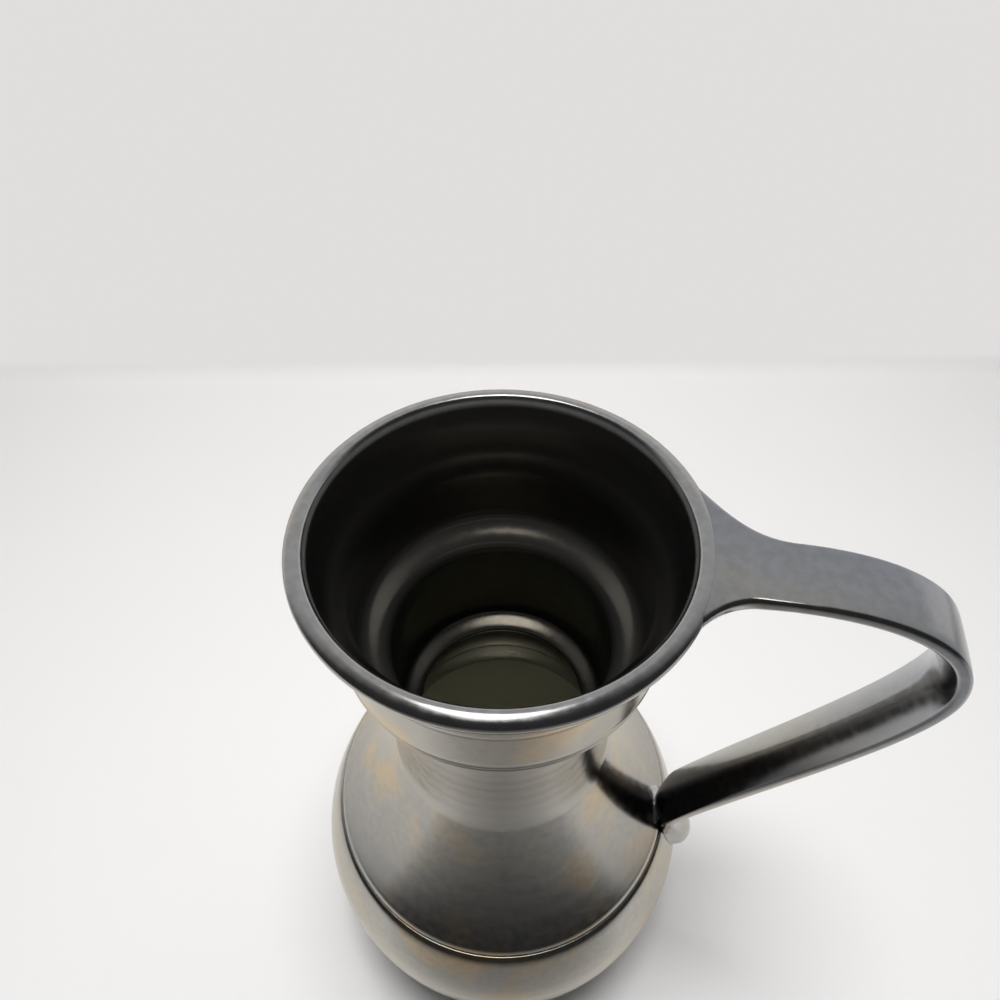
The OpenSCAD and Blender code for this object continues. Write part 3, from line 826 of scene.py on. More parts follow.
class StrapForm:
    """The rings of the strap, from its seat on the lip to the tip of its tail."""

    # Share of the fan over which its top feathers off the lip
    FEATHER = 0.12
    # Where the tail starts to end round, and its size at the tip
    END_T = 0.76
    TIP = 0.15
    # How much the tail narrows, and how much it swells
    NARROWED = 0.2
    SWOLLEN = 0.3
    # Shares of the tail's run, past the heel, over which it turns to a dome and is pressed on
    DOME_REACH = 0.45
    PRESS_REACH = 0.2
    # Where on the lower run the painted shade on the inner face starts, its slant across the strap, and
    # how slowly it deepens
    PAINTED_SHADE_T = 0.55
    PAINTED_SHADE_SLANT = 0.3
    PAINTED_SHADE_REACH = 0.3

    def __init__(self, v, h, curves):
        self.v = v
        self.h = h
        self.outside = curves.outside()
        self.section = strap_section(h)
        self.dome = [Vector((p.x, 2 * max(0, p.y) - 1)) for p in (q.normalized() for q in self.section)]
        self.fan_end_x = max(self.fillet_end_x(h.left_fillet), self.fillet_end_x(h.right_fillet))
        self.root_top = v.height - h.root_step
        self.strap_top = v.height + h.strap_rise
        bend = Vector((h.reach, v.height - h.bend_drop))
        lower_dir = -leaning(h.lower_lean)
        heel = curves.groove + Vector((h.heel_out, h.heel_rise))
        tail_z = v.belly_z + h.tail_rise
        tail_r = skin_radius(self.outside, tail_z)
        tail_tip = Vector((tail_r + h.tail_lift, tail_z))
        tail_top_r = skin_radius(self.outside, tail_z + h.tail_lead)
        tail_dir = Vector((tail_r - tail_top_r, -h.tail_lead)).normalized()
        start = Vector((self.fan_end_x, self.strap_top - h.strap_t / 2))
        climb = h.top_lead * Vector((1, math.tan(h.climb)))
        self.top_run = [start, start + climb, bend + Vector((0, h.bend_lead)), bend]
        self.lower_run = [
            bend, bend - Vector((0, h.bend_trail)), heel - h.lower_lead * lower_dir, heel]
        self.tail_run = [
            heel, heel + h.heel_lead * lower_dir, tail_tip - h.tail_lead * tail_dir, tail_tip]
        self.touch_t, self.touch = self.heel_touch()

    def seated(self, p, pressed):
        """Moves a point inside the vessel out to its skin, and a pressed one outside in to it."""
        skin = skin_radius(self.outside, p[2]) + self.h.luting_gap
        k = skin / math.hypot(p[0], p[1])
        if k < 1:
            k = 1 + (k - 1) * pressed
        return (p[0] * k, p[1] * k, p[2])

    def lip_x(self, y, z):
        r = skin_radius(self.outside, min(z, self.v.height)) + self.h.luting_gap
        return math.sqrt(max(0, r * r - y * y))

    def fillet_turn(self, fillet):
        """Angle round the vessel, from the handle, at which a fillet leaves the lip."""
        return math.asin((self.h.strap_w / 2 + fillet) / (self.v.mouth_r + fillet))

    def fillet_end_x(self, fillet):
        return (self.v.mouth_r + fillet) * math.cos(self.fillet_turn(fillet))

    def fan_edge(self, side, f):
        """Where the fan's edge lies across the handle; side is from -1, its right, to 1, its left."""
        fillet = self.h.left_fillet if side > 0 else self.h.right_fillet
        start = self.v.mouth_r * math.cos(self.fillet_turn(fillet))
        short = max(0, self.fillet_end_x(fillet) - start - (self.fan_end_x - start) * f)
        return side * (self.h.strap_w / 2 + fillet - math.sqrt(max(0, fillet * fillet - short * short)))

    def seat_ring(self, k):
        """The root's outline on the lip's skin, drawn in by the factor k."""
        ring = []
        for s in self.section:
            y = k * self.fan_edge(s[0], 0)
            z = self.root_top - (1 - k * s[1]) * self.h.root_t / 2
            ring.append((self.lip_x(y, z), y, z))
        return ring

    def fan_top(self, f):
        """Height of the fan's top: it feathers down off the lip, then rises to the strap."""
        h = self.h
        feather = h.root_dip * (math.exp(-f / self.FEATHER) - 1 + eased(f))
        rise = (self.strap_top - self.root_top) * eased(f)
        end_slope = math.tan(h.climb) * (self.fan_end_x - self.v.mouth_r)
        return self.root_top + feather + rise + end_slope * f * f * (f - 1)

    def fan_half_t(self, f):
        return (self.h.root_t + (self.h.strap_t - self.h.root_t) * eased(f)) / 2

    def underside(self, x, y):
        """Height of the fan's underside over a place in plan."""
        skin = self.lip_x(y, self.root_top - self.h.root_t)
        f = min(1, max(0, (x - skin) / (self.fan_end_x - skin)))
        across = min(1, abs(y / self.fan_edge(math.copysign(1, y), f)))
        return self.fan_top(f) - self.fan_half_t(f) * (2 - (1 + side_foot(self.h)) * bow(across))

    def fan_ring(self, f):
        half_t = self.fan_half_t(f)
        z = self.fan_top(f) - half_t
        ring = []
        for s in self.section:
            py, pz = self.fan_edge(s[0], f), z + s[1] * half_t
            x = self.lip_x(py, pz)
            ring.append((x + (self.fan_end_x - x) * f, py, pz))
        return ring

    def strap_ring(self, run, t, wide=1.0, thick=1.0, roundness=0.0, pressed=0.0):
        """A ring square to a run; the tail's rings swell to a dome and are pressed on to the vessel."""
        c = bezier_point(run, t)
        n = left_of(bezier_slope(run, t))
        ring = []
        for flat, domed in zip(self.section, self.dome):
            s = flat.lerp(domed, roundness)
            across = s[0] * wide * self.h.strap_w / 2
            through = ((s[1] + 1) * thick - 1) * self.h.strap_t / 2
            place = (c.x + through * n.x, across, c.y + through * n.y)
            ring.append(self.seated(place, pressed * max(0, -s[1])))
        return ring

    def tail_ring(self, t):
        """A ring of the tail, which narrows, swells to a knob and ends round."""
        e = max(0, (t - self.END_T) / (1 - self.END_T))
        end = self.TIP + (1 - self.TIP) * math.sqrt(max(0, 1 - e * e))
        grown = eased_from(t, 0, self.END_T)
        wide, thick = 1 - self.NARROWED * grown, 1 + self.SWOLLEN * grown
        domed = eased_from(t, self.touch_t, self.DOME_REACH)
        pressed = eased_from(t, self.touch_t, self.PRESS_REACH)
        return self.strap_ring(self.tail_run, t, wide * end, thick * end, domed, pressed)

    def rings(self):
        seat = [self.seat_ring(i / SEAT_STEPS) for i in range(1, SEAT_STEPS)]
        fan = [self.fan_ring(i / FAN_STEPS) for i in range(FAN_STEPS + 1)]
        steps = [i / RUN_STEPS for i in range(1, RUN_STEPS + 1)]
        top = [self.strap_ring(self.top_run, t) for t in steps]
        lower = [self.strap_ring(self.lower_run, t) for t in steps]
        drawn = [math.sin(math.pi / 2 * t) for t in steps]
        tail = [self.tail_ring(t) for t in drawn]
        return seat + fan + top + lower + tail

    def painted_shade(self):
        """For each point of the rings, its share of the painted shade that darkens the inner face facing
        the vessel.
        """
        inner = [1.0 if s[1] < side_foot(self.h) else 0.0 for s in self.section]
        clear = [0.0] * len(self.section) * (SEAT_STEPS + FAN_STEPS + RUN_STEPS)
        lower = []
        for i in range(1, RUN_STEPS + 1):
            for s, share in zip(self.section, inner):
                start = self.PAINTED_SHADE_T + self.PAINTED_SHADE_SLANT * s[0]
                lower.append(share * eased_from(i / RUN_STEPS, start, self.PAINTED_SHADE_REACH))
        return clear + lower + inner * RUN_STEPS

    def heel_touch(self):
        """Where the inner face first meets the shoulder: the share of the tail's run, and the point."""
        for i in range(TOUCH_STEPS + 1):
            t = i / TOUCH_STEPS
            p = bezier_point(self.tail_run, t)
            p = p - self.h.strap_t / 2 * left_of(bezier_slope(self.tail_run, t))
            if p.x <= skin_radius(self.outside, p.y) + self.h.luting_gap:
                return t, p
        raise RuntimeError("the strap's heel doesn't reach the shoulder")


def skinned(name, rings, material, painted_shade=None):
    """A closed piece through rings of equal length, capped by fans."""
    count = len(rings[0])
    points = [p for ring in rings for p in ring]
    faces = []
    for k in range(len(rings) - 1):
        for i in range(count):
            j = (i + 1) % count
            faces.append((k * count + i, k * count + j, (k + 1) * count + j, (k + 1) * count + i))
    for ring_index in (0, len(rings) - 1):
        ring = rings[ring_index]
        middle = [sum(p[axis] for p in ring) / count for axis in range(3)]
        points.append(middle)
        hub = len(points) - 1
        base = ring_index * count
        faces += [(hub, base + i, base + (i + 1) % count) for i in range(count)]
    mesh = bpy.data.meshes.new(name)
    mesh.from_pydata(points, [], faces)
    # Each point's share of the painted shade on the handle's inner face
    if painted_shade:
        dark = mesh.attributes.new(PAINTED_SHADE, "FLOAT", "POINT")
        for item, share in zip(dark.data, painted_shade):
            item.value = share
    return finished(name, mesh, material)


# Materials

# Places of the cool, the middle and the golden film along the drift of the lustre
FILM_STOPS = (0.36, 0.54, 0.72)
# Scale and place of the drift on the vessel, on the strap and on the coils
VESSEL_DRIFT = (48.0, (-0.005, -0.001, -0.007))
STRAP_DRIFT = (11.0, (0.03, 0.02, 0.0))
COIL_DRIFT = (11.0, (0.0, 0.05, 0.0))
# Fine grain of the glaze: its scale, the span of its noise, its shades and its spread of roughness
GRAIN_SCALE = 420.0
GRAIN_SPAN = (0.3, 0.7)
GRAIN_SHADES = (0.93, 1.06)
GRAIN_ROUGH = 0.03
# Orange peel of the glaze's skin
PEEL_STRENGTH = 0.05
PEEL_DEPTH = 0.3 * MM
# The strap turns golden over this depth, up to this share
GOLD_DEPTH = 50 * MM
GOLD_SHARE = 0.8
# The neck's cool film: where it starts at the crease and ends below the lip, and its share
COOL_FROM = (-3 * MM, 6 * MM)
COOL_TO = (38 * MM, 32 * MM)
COOL_SHARE = 0.9
# The lip's pale film: where it starts below the top, and its share
PALE_FROM = (7 * MM, 3 * MM)
PALE_SHARE = 0.85
# The black glaze inside: its refraction, and the depths below the top between which it turns darker
# towards the lip
BLACK_IOR = 1.95
BLACK_PLAIN_DEPTH = 20 * MM
BLACK_DARK_DEPTH = 6 * MM
# Heights between which the foot ring's bare clay begins, and its roughness
CLAY_EDGE = (0.5 * MM, 0.3 * MM)
CLAY_ROUGH = 0.85
# The backdrop's board: its roughness, the scale of its clouds and their shade
BOARD_ROUGH = 0.8
CLOUD_SCALE = 6.0
CLOUD_SHADE = 0.97
# Shades of the table in the glaze, by the distance before the jug as a share of the wall's distance,
# and the share of the distance aside that counts off
TABLE_SHADES = ((0.1, 1), (0.25, 0.58), (0.34, 0.44), (0.58, 0.3), (0.75, 0.25), (1, 0.16))
TABLE_NARROWS = 0.5
# Share of the cove's height over which the wall's even tone comes in
TONE_REACH = 0.3


def lustre_glaze(
    name, drift, film_colours,
    inner=False, pale_lip=False, bare_foot=False, golden_below=0.0, with_painted_shade=False,
):
    """Dark metallic lustre: film colours that drift, a fine grain, and an orange-peel skin."""
    scale, offset = drift
    looks = glaze()
    material = bpy.data.materials.new(name)
    material.use_nodes = True
    tree = material.node_tree
    tree.nodes.clear()
    out = add_node(tree, "ShaderNodeOutputMaterial", 900, 0)
    shader = add_node(tree, "ShaderNodeBsdfPrincipled", 600, 0, Metallic=1)
    link(tree, shader, "BSDF", out, "Surface")
    place = add_node(tree, "ShaderNodeTexCoord", -1200, 0)
    parts = add_node(tree, "ShaderNodeSeparateXYZ", -1000, -400)
    link(tree, place, "Object", parts, "Vector")
    height = parts.outputs["Z"]
    mapping = add_node(tree, "ShaderNodeMapping", -1000, 0, Location=offset)
    link(tree, place, "Object", mapping, "Vector")

    film = add_node(tree, "ShaderNodeTexNoise", -800, 200, Scale=scale, Detail=3.0, Distortion=0.5)
    link(tree, mapping, "Vector", film, "Vector")
    colour = colour_ramp(tree, -550, 200, film.outputs["Fac"], list(zip(FILM_STOPS, film_colours)))
    if golden_below:
        sink = ranged(tree, -550, 450, height, golden_below, golden_below - GOLD_DEPTH, 0, GOLD_SHARE)
        colour = mixed(tree, -350, 350, sink, colour, film_colours[-1])
    # Painted shade on the handle's inner face, by each point's share
    if with_painted_shade:
        dark = add_node(tree, "ShaderNodeAttribute", -550, 650, attribute_name=PAINTED_SHADE)
        colour = mixed(tree, -350, 550, dark.outputs["Fac"], colour, looks.painted_shade)
    if pale_lip:
        colour = worn_neck(tree, height, colour)

    grain = add_node(tree, "ShaderNodeTexNoise", -800, -100, Scale=GRAIN_SCALE, Detail=4.0)
    link(tree, mapping, "Vector", grain, "Vector")
    shade = ranged(tree, -550, -100, grain.outputs["Fac"], *GRAIN_SPAN, *GRAIN_SHADES)
    tone = add_node(tree, "ShaderNodeMix", -200, 150, data_type="RGBA", blend_type="MULTIPLY", Factor=1)
    tree.links.new(colour, tone.inputs[6])
    tree.links.new(shade, tone.inputs[7])
    colour = tone.outputs[2]
    spread = (looks.roughness - GRAIN_ROUGH, looks.roughness + GRAIN_ROUGH)
    rough = ranged(tree, -250, -200, grain.outputs["Fac"], *GRAIN_SPAN, *spread)
    if inner:
        colour = black_inside(tree, shader, height, colour)
    if bare_foot:
        colour, rough = bare_clay(tree, height, colour, rough)
    tree.links.new(colour, shader.inputs["Base Color"])
    tree.links.new(rough, shader.inputs["Roughness"])

    peel = add_node(tree, "ShaderNodeTexNoise", -250, -700, Scale=GRAIN_SCALE, Detail=2.0)
    skin = add_node(tree, "ShaderNodeBump", 300, -400, Strength=PEEL_STRENGTH, Distance=PEEL_DEPTH)
    link(tree, mapping, "Vector", peel, "Vector")
    link(tree, peel, "Fac", skin, "Height")
    link(tree, skin, "Normal", shader, "Normal")
    return material


def worn_neck(tree, height, colour):
    """The neck's thin cool film and the lip's worn pale one, over the film's colour socket."""
    v, looks = vessel(), glaze()
    starts = [v.crease_z + z for z in COOL_FROM]
    ends = [v.height - z for z in COOL_TO]
    above = ranged(tree, -550, 650, height, *starts, 0, COOL_SHARE)
    below = ranged(tree, -550, 850, height, *ends, 1, 0)
    band = add_node(tree, "ShaderNodeMath", -450, 750, operation="MULTIPLY")
    tree.links.new(above, band.inputs[0])
    tree.links.new(below, band.inputs[1])
    colour = mixed(tree, -350, 650, band.outputs["Value"], colour, looks.vessel_cool)
    lip = [v.height - z for z in PALE_FROM]
    rise = ranged(tree, -550, 450, height, *lip, 0, PALE_SHARE)
    return mixed(tree, -350, 350, rise, colour, looks.lip)


def black_inside(tree, shader, height, colour):
    """The lustre's colour socket outside and the black glaze inside, which is glossy and no metal."""
    looks = glaze()
    share = add_node(tree, "ShaderNodeAttribute", -550, -700, attribute_name=INNER_GLAZE)
    coats = add_node(tree, "ShaderNodeMix", 100, 300, data_type="RGBA")
    link(tree, share, "Fac", coats, "Factor")
    tree.links.new(colour, coats.inputs[6])
    tree.links.new(inner_coat(tree, height), coats.inputs[7])
    metal = ranged(tree, 200, 400, share.outputs["Fac"], 0, 1, 1, 0)
    tree.links.new(metal, shader.inputs["Metallic"])
    shader.inputs["IOR"].default_value = BLACK_IOR
    edge = add_node(tree, "ShaderNodeMix", 200, 600, data_type="RGBA")
    edge.inputs[6].default_value = (*looks.edge, 1)
    edge.inputs[7].default_value = (*looks.sheen, 1)
    link(tree, share, "Fac", edge, "Factor")
    tree.links.new(edge.outputs[2], shader.inputs["Specular Tint"])
    return coats.outputs[2]


def inner_coat(tree, height):
    """Black glaze inside, darkest at the lip and down the neck; deep in the belly a pale painted
    reflection.
    """
    v, looks = vessel(), glaze()
    reach = ranged(tree, -250, -900, height, 0, v.height, 0, 1)
    reach.node.interpolation_type = "LINEAR"
    bands = (
        (v.groove_z, looks.deep_painted_reflection),
        (v.crease_z, looks.inner_dark),
        (v.sill_z, looks.inner_dark),
        (v.ledge_z, looks.inner),
        (v.height - BLACK_PLAIN_DEPTH, looks.inner),
        (v.height - BLACK_DARK_DEPTH, looks.inner_dark),
        (v.height, looks.inner_dark),
    )
    return colour_ramp(tree, -50, -900, reach, [(z / v.height, tone) for z, tone in bands])


def bare_clay(tree, height, colour, rough):
    """Dull bare clay on the foot ring's face, over the colour and roughness sockets."""
    bare = ranged(tree, -250, -450, height, *CLAY_EDGE, 0, 1)
    dull = add_node(tree, "ShaderNodeMix", 200, -200)
    tree.links.new(bare, dull.inputs["Factor"])
    tree.links.new(rough, dull.inputs[2])
    dull.inputs[3].default_value = CLAY_ROUGH
    return mixed(tree, 200, 150, bare, colour, glaze().clay), dull.outputs[0]


def backdrop_paint():
    """Matt pale paint of a painted board: the wall shows an even tone, and the glaze a shaded table."""
    s = stage()
    material = bpy.data.materials.new("pale_backdrop")
    material.use_nodes = True
    tree = material.node_tree
    out = tree.nodes["Material Output"]
    shader = tree.nodes["Principled BSDF"]
    shader.inputs["Roughness"].default_value = BOARD_ROUGH
    place = add_node(tree, "ShaderNodeTexCoord", -800, 0)
    path = add_node(tree, "ShaderNodeLightPath", -800, 400)
    cloud = add_node(tree, "ShaderNodeTexNoise", -600, 0, Scale=CLOUD_SCALE, Detail=3.0)
    link(tree, place, "Object", cloud, "Vector")
    base = Vector(s.floor_colour)
    paint = colour_ramp(tree, -400, 0, cloud.outputs["Fac"], ((0, base * CLOUD_SHADE), (1, base)))
    toned = add_node(tree, "ShaderNodeMix", -200, 100, data_type="RGBA", blend_type="MULTIPLY")
    link(tree, path, "Is Glossy Ray", toned, "Factor")
    tree.links.new(paint, toned.inputs[6])
    tree.links.new(table_shade(tree, place), toned.inputs[7])
    tree.links.new(toned.outputs[2], shader.inputs["Base Color"])

    even = add_node(tree, "ShaderNodeEmission", 0, -300, Color=(*s.wall_tone, 1))
    seen = add_node(tree, "ShaderNodeMath", -500, 400, operation="ADD", use_clamp=True)
    link(tree, path, "Is Camera Ray", seen, 0)
    link(tree, path, "Is Glossy Ray", seen, 1)
    parts = add_node(tree, "ShaderNodeSeparateXYZ", -600, -300)
    link(tree, place, "Object", parts, "Vector")
    up = ranged(tree, -400, -300, parts.outputs["Z"], 0, TONE_REACH * s.cove, 0, 1)
    share = add_node(tree, "ShaderNodeMath", -200, 300, operation="MULTIPLY")
    link(tree, seen, "Value", share, 0)
    tree.links.new(up, share.inputs[1])
    mix = add_node(tree, "ShaderNodeMixShader", 300, 200)
    link(tree, share, "Value", mix, "Fac")
    link(tree, shader, "BSDF", mix, 1)
    link(tree, even, "Emission", mix, 2)
    link(tree, mix, "Shader", out, "Surface")
    return material


def table_shade(tree, place):
    """Shade of the table before the jug, darker the further it lies from the backdrop."""
    s = stage()
    towards = Vector((math.sin(s.camera_azimuth), -math.cos(s.camera_azimuth), 0)) / s.wall_y
    front = add_node(tree, "ShaderNodeVectorMath", -1000, 200, operation="DOT_PRODUCT")
    front.inputs[1].default_value = towards
    beside = add_node(tree, "ShaderNodeVectorMath", -1000, 400, operation="DOT_PRODUCT")
    beside.inputs[1].default_value = (-towards.y, towards.x, 0)
    off = add_node(tree, "ShaderNodeMath", -800, 300, operation="ABSOLUTE")
    cone = add_node(tree, "ShaderNodeMath", -600, 250, operation="MULTIPLY_ADD")
    cone.inputs[1].default_value = -TABLE_NARROWS
    link(tree, place, "Object", front, 0)
    link(tree, place, "Object", beside, 0)
    link(tree, beside, "Value", off, 0)
    link(tree, off, "Value", cone, 0)
    link(tree, front, "Value", cone, 2)
    greys = [(distance, (shade, shade, shade)) for distance, shade in TABLE_SHADES]
    return colour_ramp(tree, -400, 250, cone.outputs["Value"], greys)


# Operators


class JUG_OT_thrown_vessel(bpy.types.Operator):
    """Turn the lower body, the shoulder, and the neck with its mouth"""

    bl_idname = "jug.thrown_vessel"
    bl_label = "Thrown Vessel"

    def execute(self, context):
        v = vessel()
        curves = VesselCurves(v)
        tree = thrown_section_tree()
        looks = glaze()
        film = (looks.vessel_cool, looks.vessel_steel, looks.vessel_gold)
        body_glaze = lustre_glaze("vessel_lustre_body", VESSEL_DRIFT, film, inner=True, bare_foot=True)
        neck_glaze = lustre_glaze("vessel_lustre_neck", VESSEL_DRIFT, film, inner=True, pale_lip=True)
        sections = (
            ("lower_body", curves.lower_body(v), False, body_glaze),
            ("shoulder", curves.shoulder(v), True, neck_glaze),
            ("neck_and_mouth", curves.neck_and_mouth(v), True, neck_glaze),
        )
        for node, points, closed, material in sections:
            piece = thrown_section("thrown_" + node, points, closed, tree, material)
            dress(piece, node)
        return {"FINISHED"}


class JUG_OT_strap_handle(bpy.types.Operator):
    """Pull the strap handle from its fanned root on the lip to its tail on the belly"""

    bl_idname = "jug.strap_handle"
    bl_label = "Strap Handle"

    def execute(self, context):
        v, h = vessel(), strap()
        form = StrapForm(v, h, VesselCurves(v))
        looks = glaze()
        film = (looks.strap_blue, looks.strap_steel, looks.strap_gold)
        bend_z = v.height - h.bend_drop
        # The handle's lustre, with painted shade on its inner face
        material = lustre_glaze("handle_lustre", STRAP_DRIFT, film, golden_below=bend_z, with_painted_shade=True)
        piece = skinned("strap_handle", form.rings(), material, form.painted_shade())
        dress(piece, "handle")
        return {"FINISHED"}


class JUG_OT_luting_coils(bpy.types.Operator):
    """Press a coil of clay under the handle's root and another above its heel"""

    bl_idname = "jug.luting_coils"
    bl_label = "Luting Coils"

    # Rings along a coil, and points along a side of its ring
    STEPS = 24
    ROUND = 12
    # Size of a coil's ends, as a share of its middle
    THIN_END = 0.06
    # Shares of the root's fillets and of the strap's width that the coils span
    UPPER_SPAN = 0.75
    LOWER_SPAN = 0.75
    # How fast the coils thin out: a lower power makes blunter ends
    UPPER_POWER = 1
    LOWER_POWER = 0.5
    # Thickness of the upper coil's lower edge
    FEATHER_EDGE = 0.2 * MM
    # Where the search for the lower coil's corner starts below the heel, and its step
    SEARCH_DROP = 4 * MM
    SEARCH_STEP = 0.05 * MM
    # How closely the lower coil's hollow follows its corner
    HOLLOW_HUG = 2 / 3

    def execute(self, context):
        v, h = vessel(), strap()
        form = StrapForm(v, h, VesselCurves(v))
        looks = glaze()
        film = (looks.strap_steel, looks.lip, looks.strap_gold)
        material = lustre_glaze("coil_lustre", COIL_DRIFT, film)
        spans = [2 * i / self.STEPS - 1 for i in range(self.STEPS + 1)]
        upper = skinned("coil_under_root", [self.upper_ring(form, u) for u in spans], material)
        dress(upper, "upper_luting_coil")
        # Painted highlight: the coil above the heel gets the paler lustre
        painted_highlight = lustre_glaze("highlight_painted_coil_lustre", COIL_DRIFT, (looks.lip, looks.painted_highlight, looks.painted_highlight))
        lower = skinned("coil_above_heel", [self.lower_ring(form, u) for u in spans], painted_highlight)
        dress(lower, "lower_luting_coil")
        return {"FINISHED"}

    def taper(self, u, power):
        """Share of a coil's leg at the place u along it: 1 at its middle, thin at its ends."""
        return self.THIN_END + (1 - self.THIN_END) * max(0, 1 - u * u) ** power

    def upper_ring(self, form, u):
        """Fills the corner between the collar's flare and the root's underside."""
        h = form.h
        leg = h.upper_coil_leg * self.taper(u, self.UPPER_POWER)
        a = form.fillet_turn(h.left_fillet if u > 0 else h.right_fillet) * self.UPPER_SPAN * u
        top = form.underside(0, form.v.mouth_r * math.sin(a)) - h.luting_gap
        seam = []
        for i in range(self.ROUND + 1):
            z = top - leg * (1 - i / self.ROUND)
            seam.append((skin_radius(form.outside, z) + h.luting_gap, z))
        for i in range(self.ROUND):
            t = i / self.ROUND
            z = top - leg * t
            bulge = leg * (1 - t) ** 2 + self.FEATHER_EDGE
            r = skin_radius(form.outside, z) + h.luting_gap + bulge
            roof = form.underside(r * math.cos(a), r * math.sin(a)) - h.luting_gap
            seam.append((r, z + (roof - top) * (1 - t)))
        return [(r * math.cos(a), r * math.sin(a), z) for r, z in seam]

    def lower_ring(self, form, u):
        """Fills the corner between the shoulder and the strap's inner face with a hollow curve."""
        h = form.h
        leg = h.lower_coil_leg * self.taper(u, self.LOWER_POWER)
        y = h.strap_w / 2 * self.LOWER_SPAN * u
        heel = form.touch
        back = (h.strap_t - h.side_h) * bow(2 * y / h.strap_w)

        def skin(z):
            r = skin_radius(form.outside, z) + h.luting_gap
            return Vector((math.sqrt(r * r - y * y), z))

        def face(z):
            return Vector((heel.x + back + (z - heel.y) * math.tan(h.lower_lean) - h.luting_gap, z))

        low = heel.y - self.SEARCH_DROP
        while skin(low).x > face(low).x:
            low += self.SEARCH_STEP
        tops = [low + leg * i / self.ROUND for i in range(self.ROUND + 1)]
        first, corner, last = skin(tops[-1]), (skin(low) + face(low)) / 2, face(tops[-1])
        leads = [end.lerp(corner, self.HOLLOW_HUG) for end in (first, last)]
        hollow = bezier([first, *leads, last], 2 * self.ROUND)
        seam = [skin(z) for z in tops] + hollow[1:-1] + [face(z) for z in reversed(tops[1:])]
        return [(p.x, y, p.y) for p in seam]


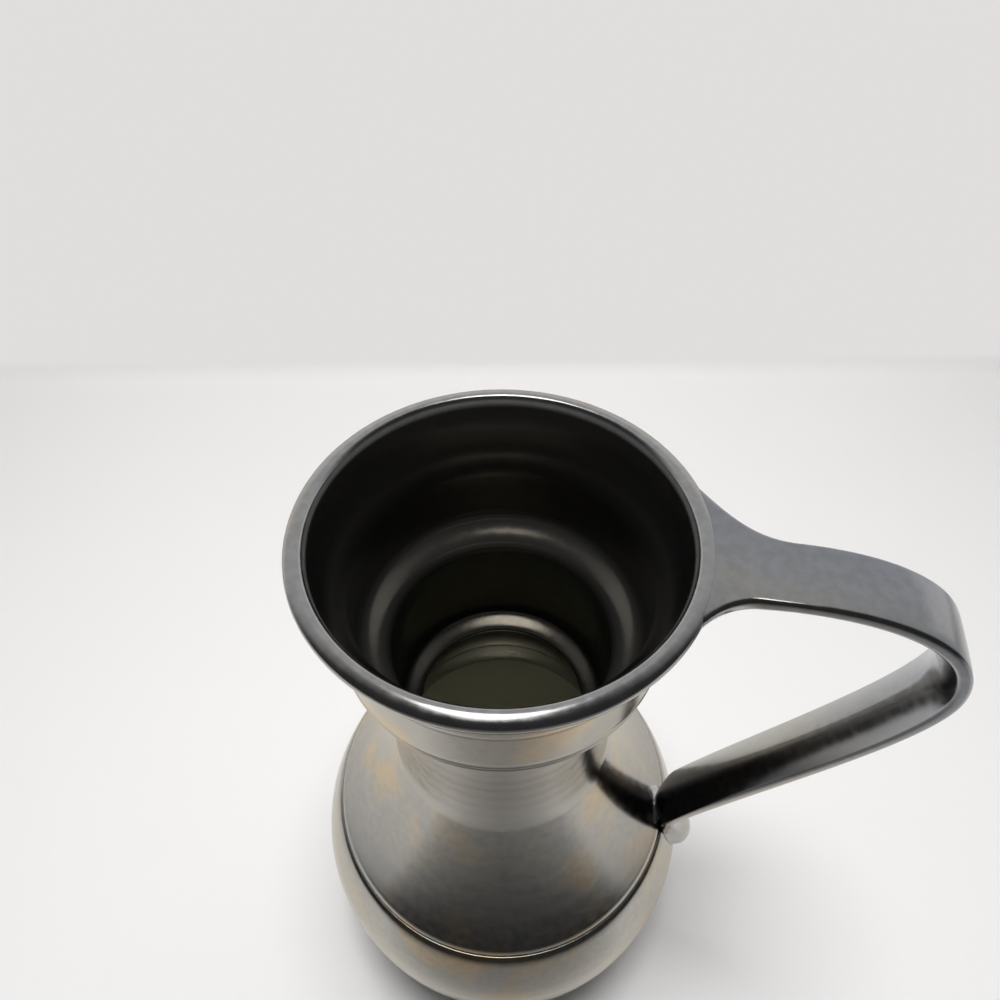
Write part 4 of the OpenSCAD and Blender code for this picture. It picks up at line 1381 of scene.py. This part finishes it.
class JUG_OT_stage(bpy.types.Operator):
    """Set the floor with its backdrop, the lights and the camera"""

    bl_idname = "jug.stage"
    bl_label = "Stage"

    COVE_STEPS = 16
    # Cosines of the angles from the far side between which the room turns from dim to pale
    ROOM_TURN = (-0.15, 0.45)
    ROOM_TINT = (0.96, 0.97, 1.0, 1)
    SOFTBOX_PLACE = Vector((-0.04, -0.01, 1.0))
    FILL_PLACE = Vector((0, 0, 1.1))
    SENSOR_W = 36
    NEAR_CLIP = 10 * MM

    def execute(self, context):
        self.backdrop()
        self.world()
        self.lamps()
        self.camera()
        context.scene.view_settings.view_transform = "Standard"
        return {"FINISHED"}

    def away(self):
        """Level direction from the camera's side to the far side."""
        a = stage().camera_azimuth
        return Vector((-math.sin(a), math.cos(a), 0))

    def backdrop(self):
        """A floor that curves up into a straight wall on the far side."""
        s = stage()
        away = self.away()
        aside = Vector((away.y, -away.x, 0)) * s.floor_w / 2
        cove = arc(Vector((s.wall_y - s.cove, s.cove)), s.cove, -90, 0, self.COVE_STEPS)
        table = [Vector((-s.floor_w / 2, 0)), Vector((s.wall_y / 2, 0))]
        profile = [*table, *cove, Vector((s.wall_y, s.wall_h))]
        points = [away * p.x + Vector((0, 0, p.y)) + side for p in profile for side in (-aside, aside)]
        faces = [(2 * i, 2 * i + 1, 2 * i + 3, 2 * i + 2) for i in range(len(profile) - 1)]
        mesh = bpy.data.meshes.new("floor")
        mesh.from_pydata(points, [], faces)
        mesh.shade_smooth()
        mesh.materials.append(backdrop_paint())
        floor = bpy.data.objects.new("floor", mesh)
        bpy.context.scene.collection.objects.link(floor)

    def world(self):
        """A room pale on the far side and dim on the camera's, and white where the camera sees it."""
        s = stage()
        world = bpy.data.worlds.new("soft_room")
        bpy.context.scene.world = world
        world.use_nodes = True
        tree = world.node_tree
        room = tree.nodes["Background"]
        out = tree.nodes["World Output"]
        place = add_node(tree, "ShaderNodeTexCoord", -900, 0)
        facing = add_node(tree, "ShaderNodeVectorMath", -700, 0, operation="DOT_PRODUCT")
        facing.inputs[1].default_value = self.away()
        link(tree, place, "Generated", facing, 0)
        level = ranged(tree, -500, 0, facing.outputs["Value"], *self.ROOM_TURN, s.room_dim, s.room_pale)
        tree.links.new(level, room.inputs["Strength"])
        room.inputs["Color"].default_value = self.ROOM_TINT
        white = add_node(tree, "ShaderNodeBackground", 0, -200)
        path = add_node(tree, "ShaderNodeLightPath", -200, 300)
        mix = add_node(tree, "ShaderNodeMixShader", 200, 0)
        link(tree, path, "Is Camera Ray", mix, "Fac")
        link(tree, room, "Background", mix, 1)
        link(tree, white, "Background", mix, 2)
        link(tree, mix, "Shader", out, "Surface")

    def lamps(self):
        """A softbox that the glaze reflects, and a stronger lamp that it doesn't."""
        s = stage()
        self.lamp("overhead_softbox", self.SOFTBOX_PLACE, s.softbox_w, s.softbox_power)
        fill = self.lamp("floor_fill", self.FILL_PLACE, s.fill_w, s.fill_power)
        fill.visible_glossy = False

    def lamp(self, name, place, size, watts):
        light = bpy.data.lights.new(name, "AREA")
        light.shape = "DISK"
        light.size = size
        light.energy = watts
        lamp = bpy.data.objects.new(name, light)
        lamp.location = place
        aim = Vector((0, 0, vessel().height / 2)) - place
        lamp.rotation_euler = aim.to_track_quat("-Z", "Y").to_euler()
        bpy.context.scene.collection.objects.link(lamp)
        return lamp

    def camera(self):
        s = stage()
        data = bpy.data.cameras.new("camera")
        data.lens = s.lens
        data.sensor_width = self.SENSOR_W
        camera = bpy.data.objects.new("camera", data)
        a = s.camera_azimuth
        place = Vector((math.sin(a), -math.cos(a), 0)) * s.camera_out
        place.z = s.camera_z
        tilt = Matrix.Rotation(a, 4, "Z") @ Matrix.Rotation(math.pi / 2 - s.camera_pitch, 4, "X")
        camera.matrix_world = Matrix.Translation(place) @ tilt @ Matrix.Rotation(s.camera_roll, 4, "Z")
        data.clip_start = self.NEAR_CLIP
        bpy.context.scene.collection.objects.link(camera)
        bpy.context.scene.camera = camera


class JUG_PT_panel(bpy.types.Panel):
    """Lists the jug's pieces and its sizes"""

    bl_idname = "JUG_PT_panel"
    bl_label = "Lustre Jug"
    bl_space_type = "VIEW_3D"
    bl_region_type = "UI"
    bl_category = "Jug"

    def draw(self, context):
        layout = self.layout
        for operator in OPERATORS:
            layout.operator(operator.bl_idname)
        for group in GROUPS:
            box = layout.box()
            box.label(text=group.replace("jug_", "").title())
            settings = getattr(context.scene, group)
            for name in settings.__annotations__:
                box.prop(settings, name)


OPERATORS = (JUG_OT_thrown_vessel, JUG_OT_strap_handle, JUG_OT_luting_coils, JUG_OT_stage)
GROUPS = {
    "jug_vessel": JugVesselSizes,
    "jug_handle": JugHandleSizes,
    "jug_glaze": JugGlazeLooks,
    "jug_stage": JugStageSettings,
}


def register():
    for group in GROUPS.values():
        bpy.utils.register_class(group)
    for operator in OPERATORS:
        bpy.utils.register_class(operator)
    bpy.utils.register_class(JUG_PT_panel)
    for name, group in GROUPS.items():
        setattr(bpy.types.Scene, name, PointerProperty(type=group))


def unregister():
    for name in GROUPS:
        delattr(bpy.types.Scene, name)
    bpy.utils.unregister_class(JUG_PT_panel)
    for operator in reversed(OPERATORS):
        bpy.utils.unregister_class(operator)
    for group in GROUPS.values():
        bpy.utils.unregister_class(group)


def main():
    register()
    bpy.ops.jug.thrown_vessel()
    bpy.ops.jug.strap_handle()
    bpy.ops.jug.luting_coils()
    bpy.ops.jug.stage()


if __name__ == "__main__":
    main()
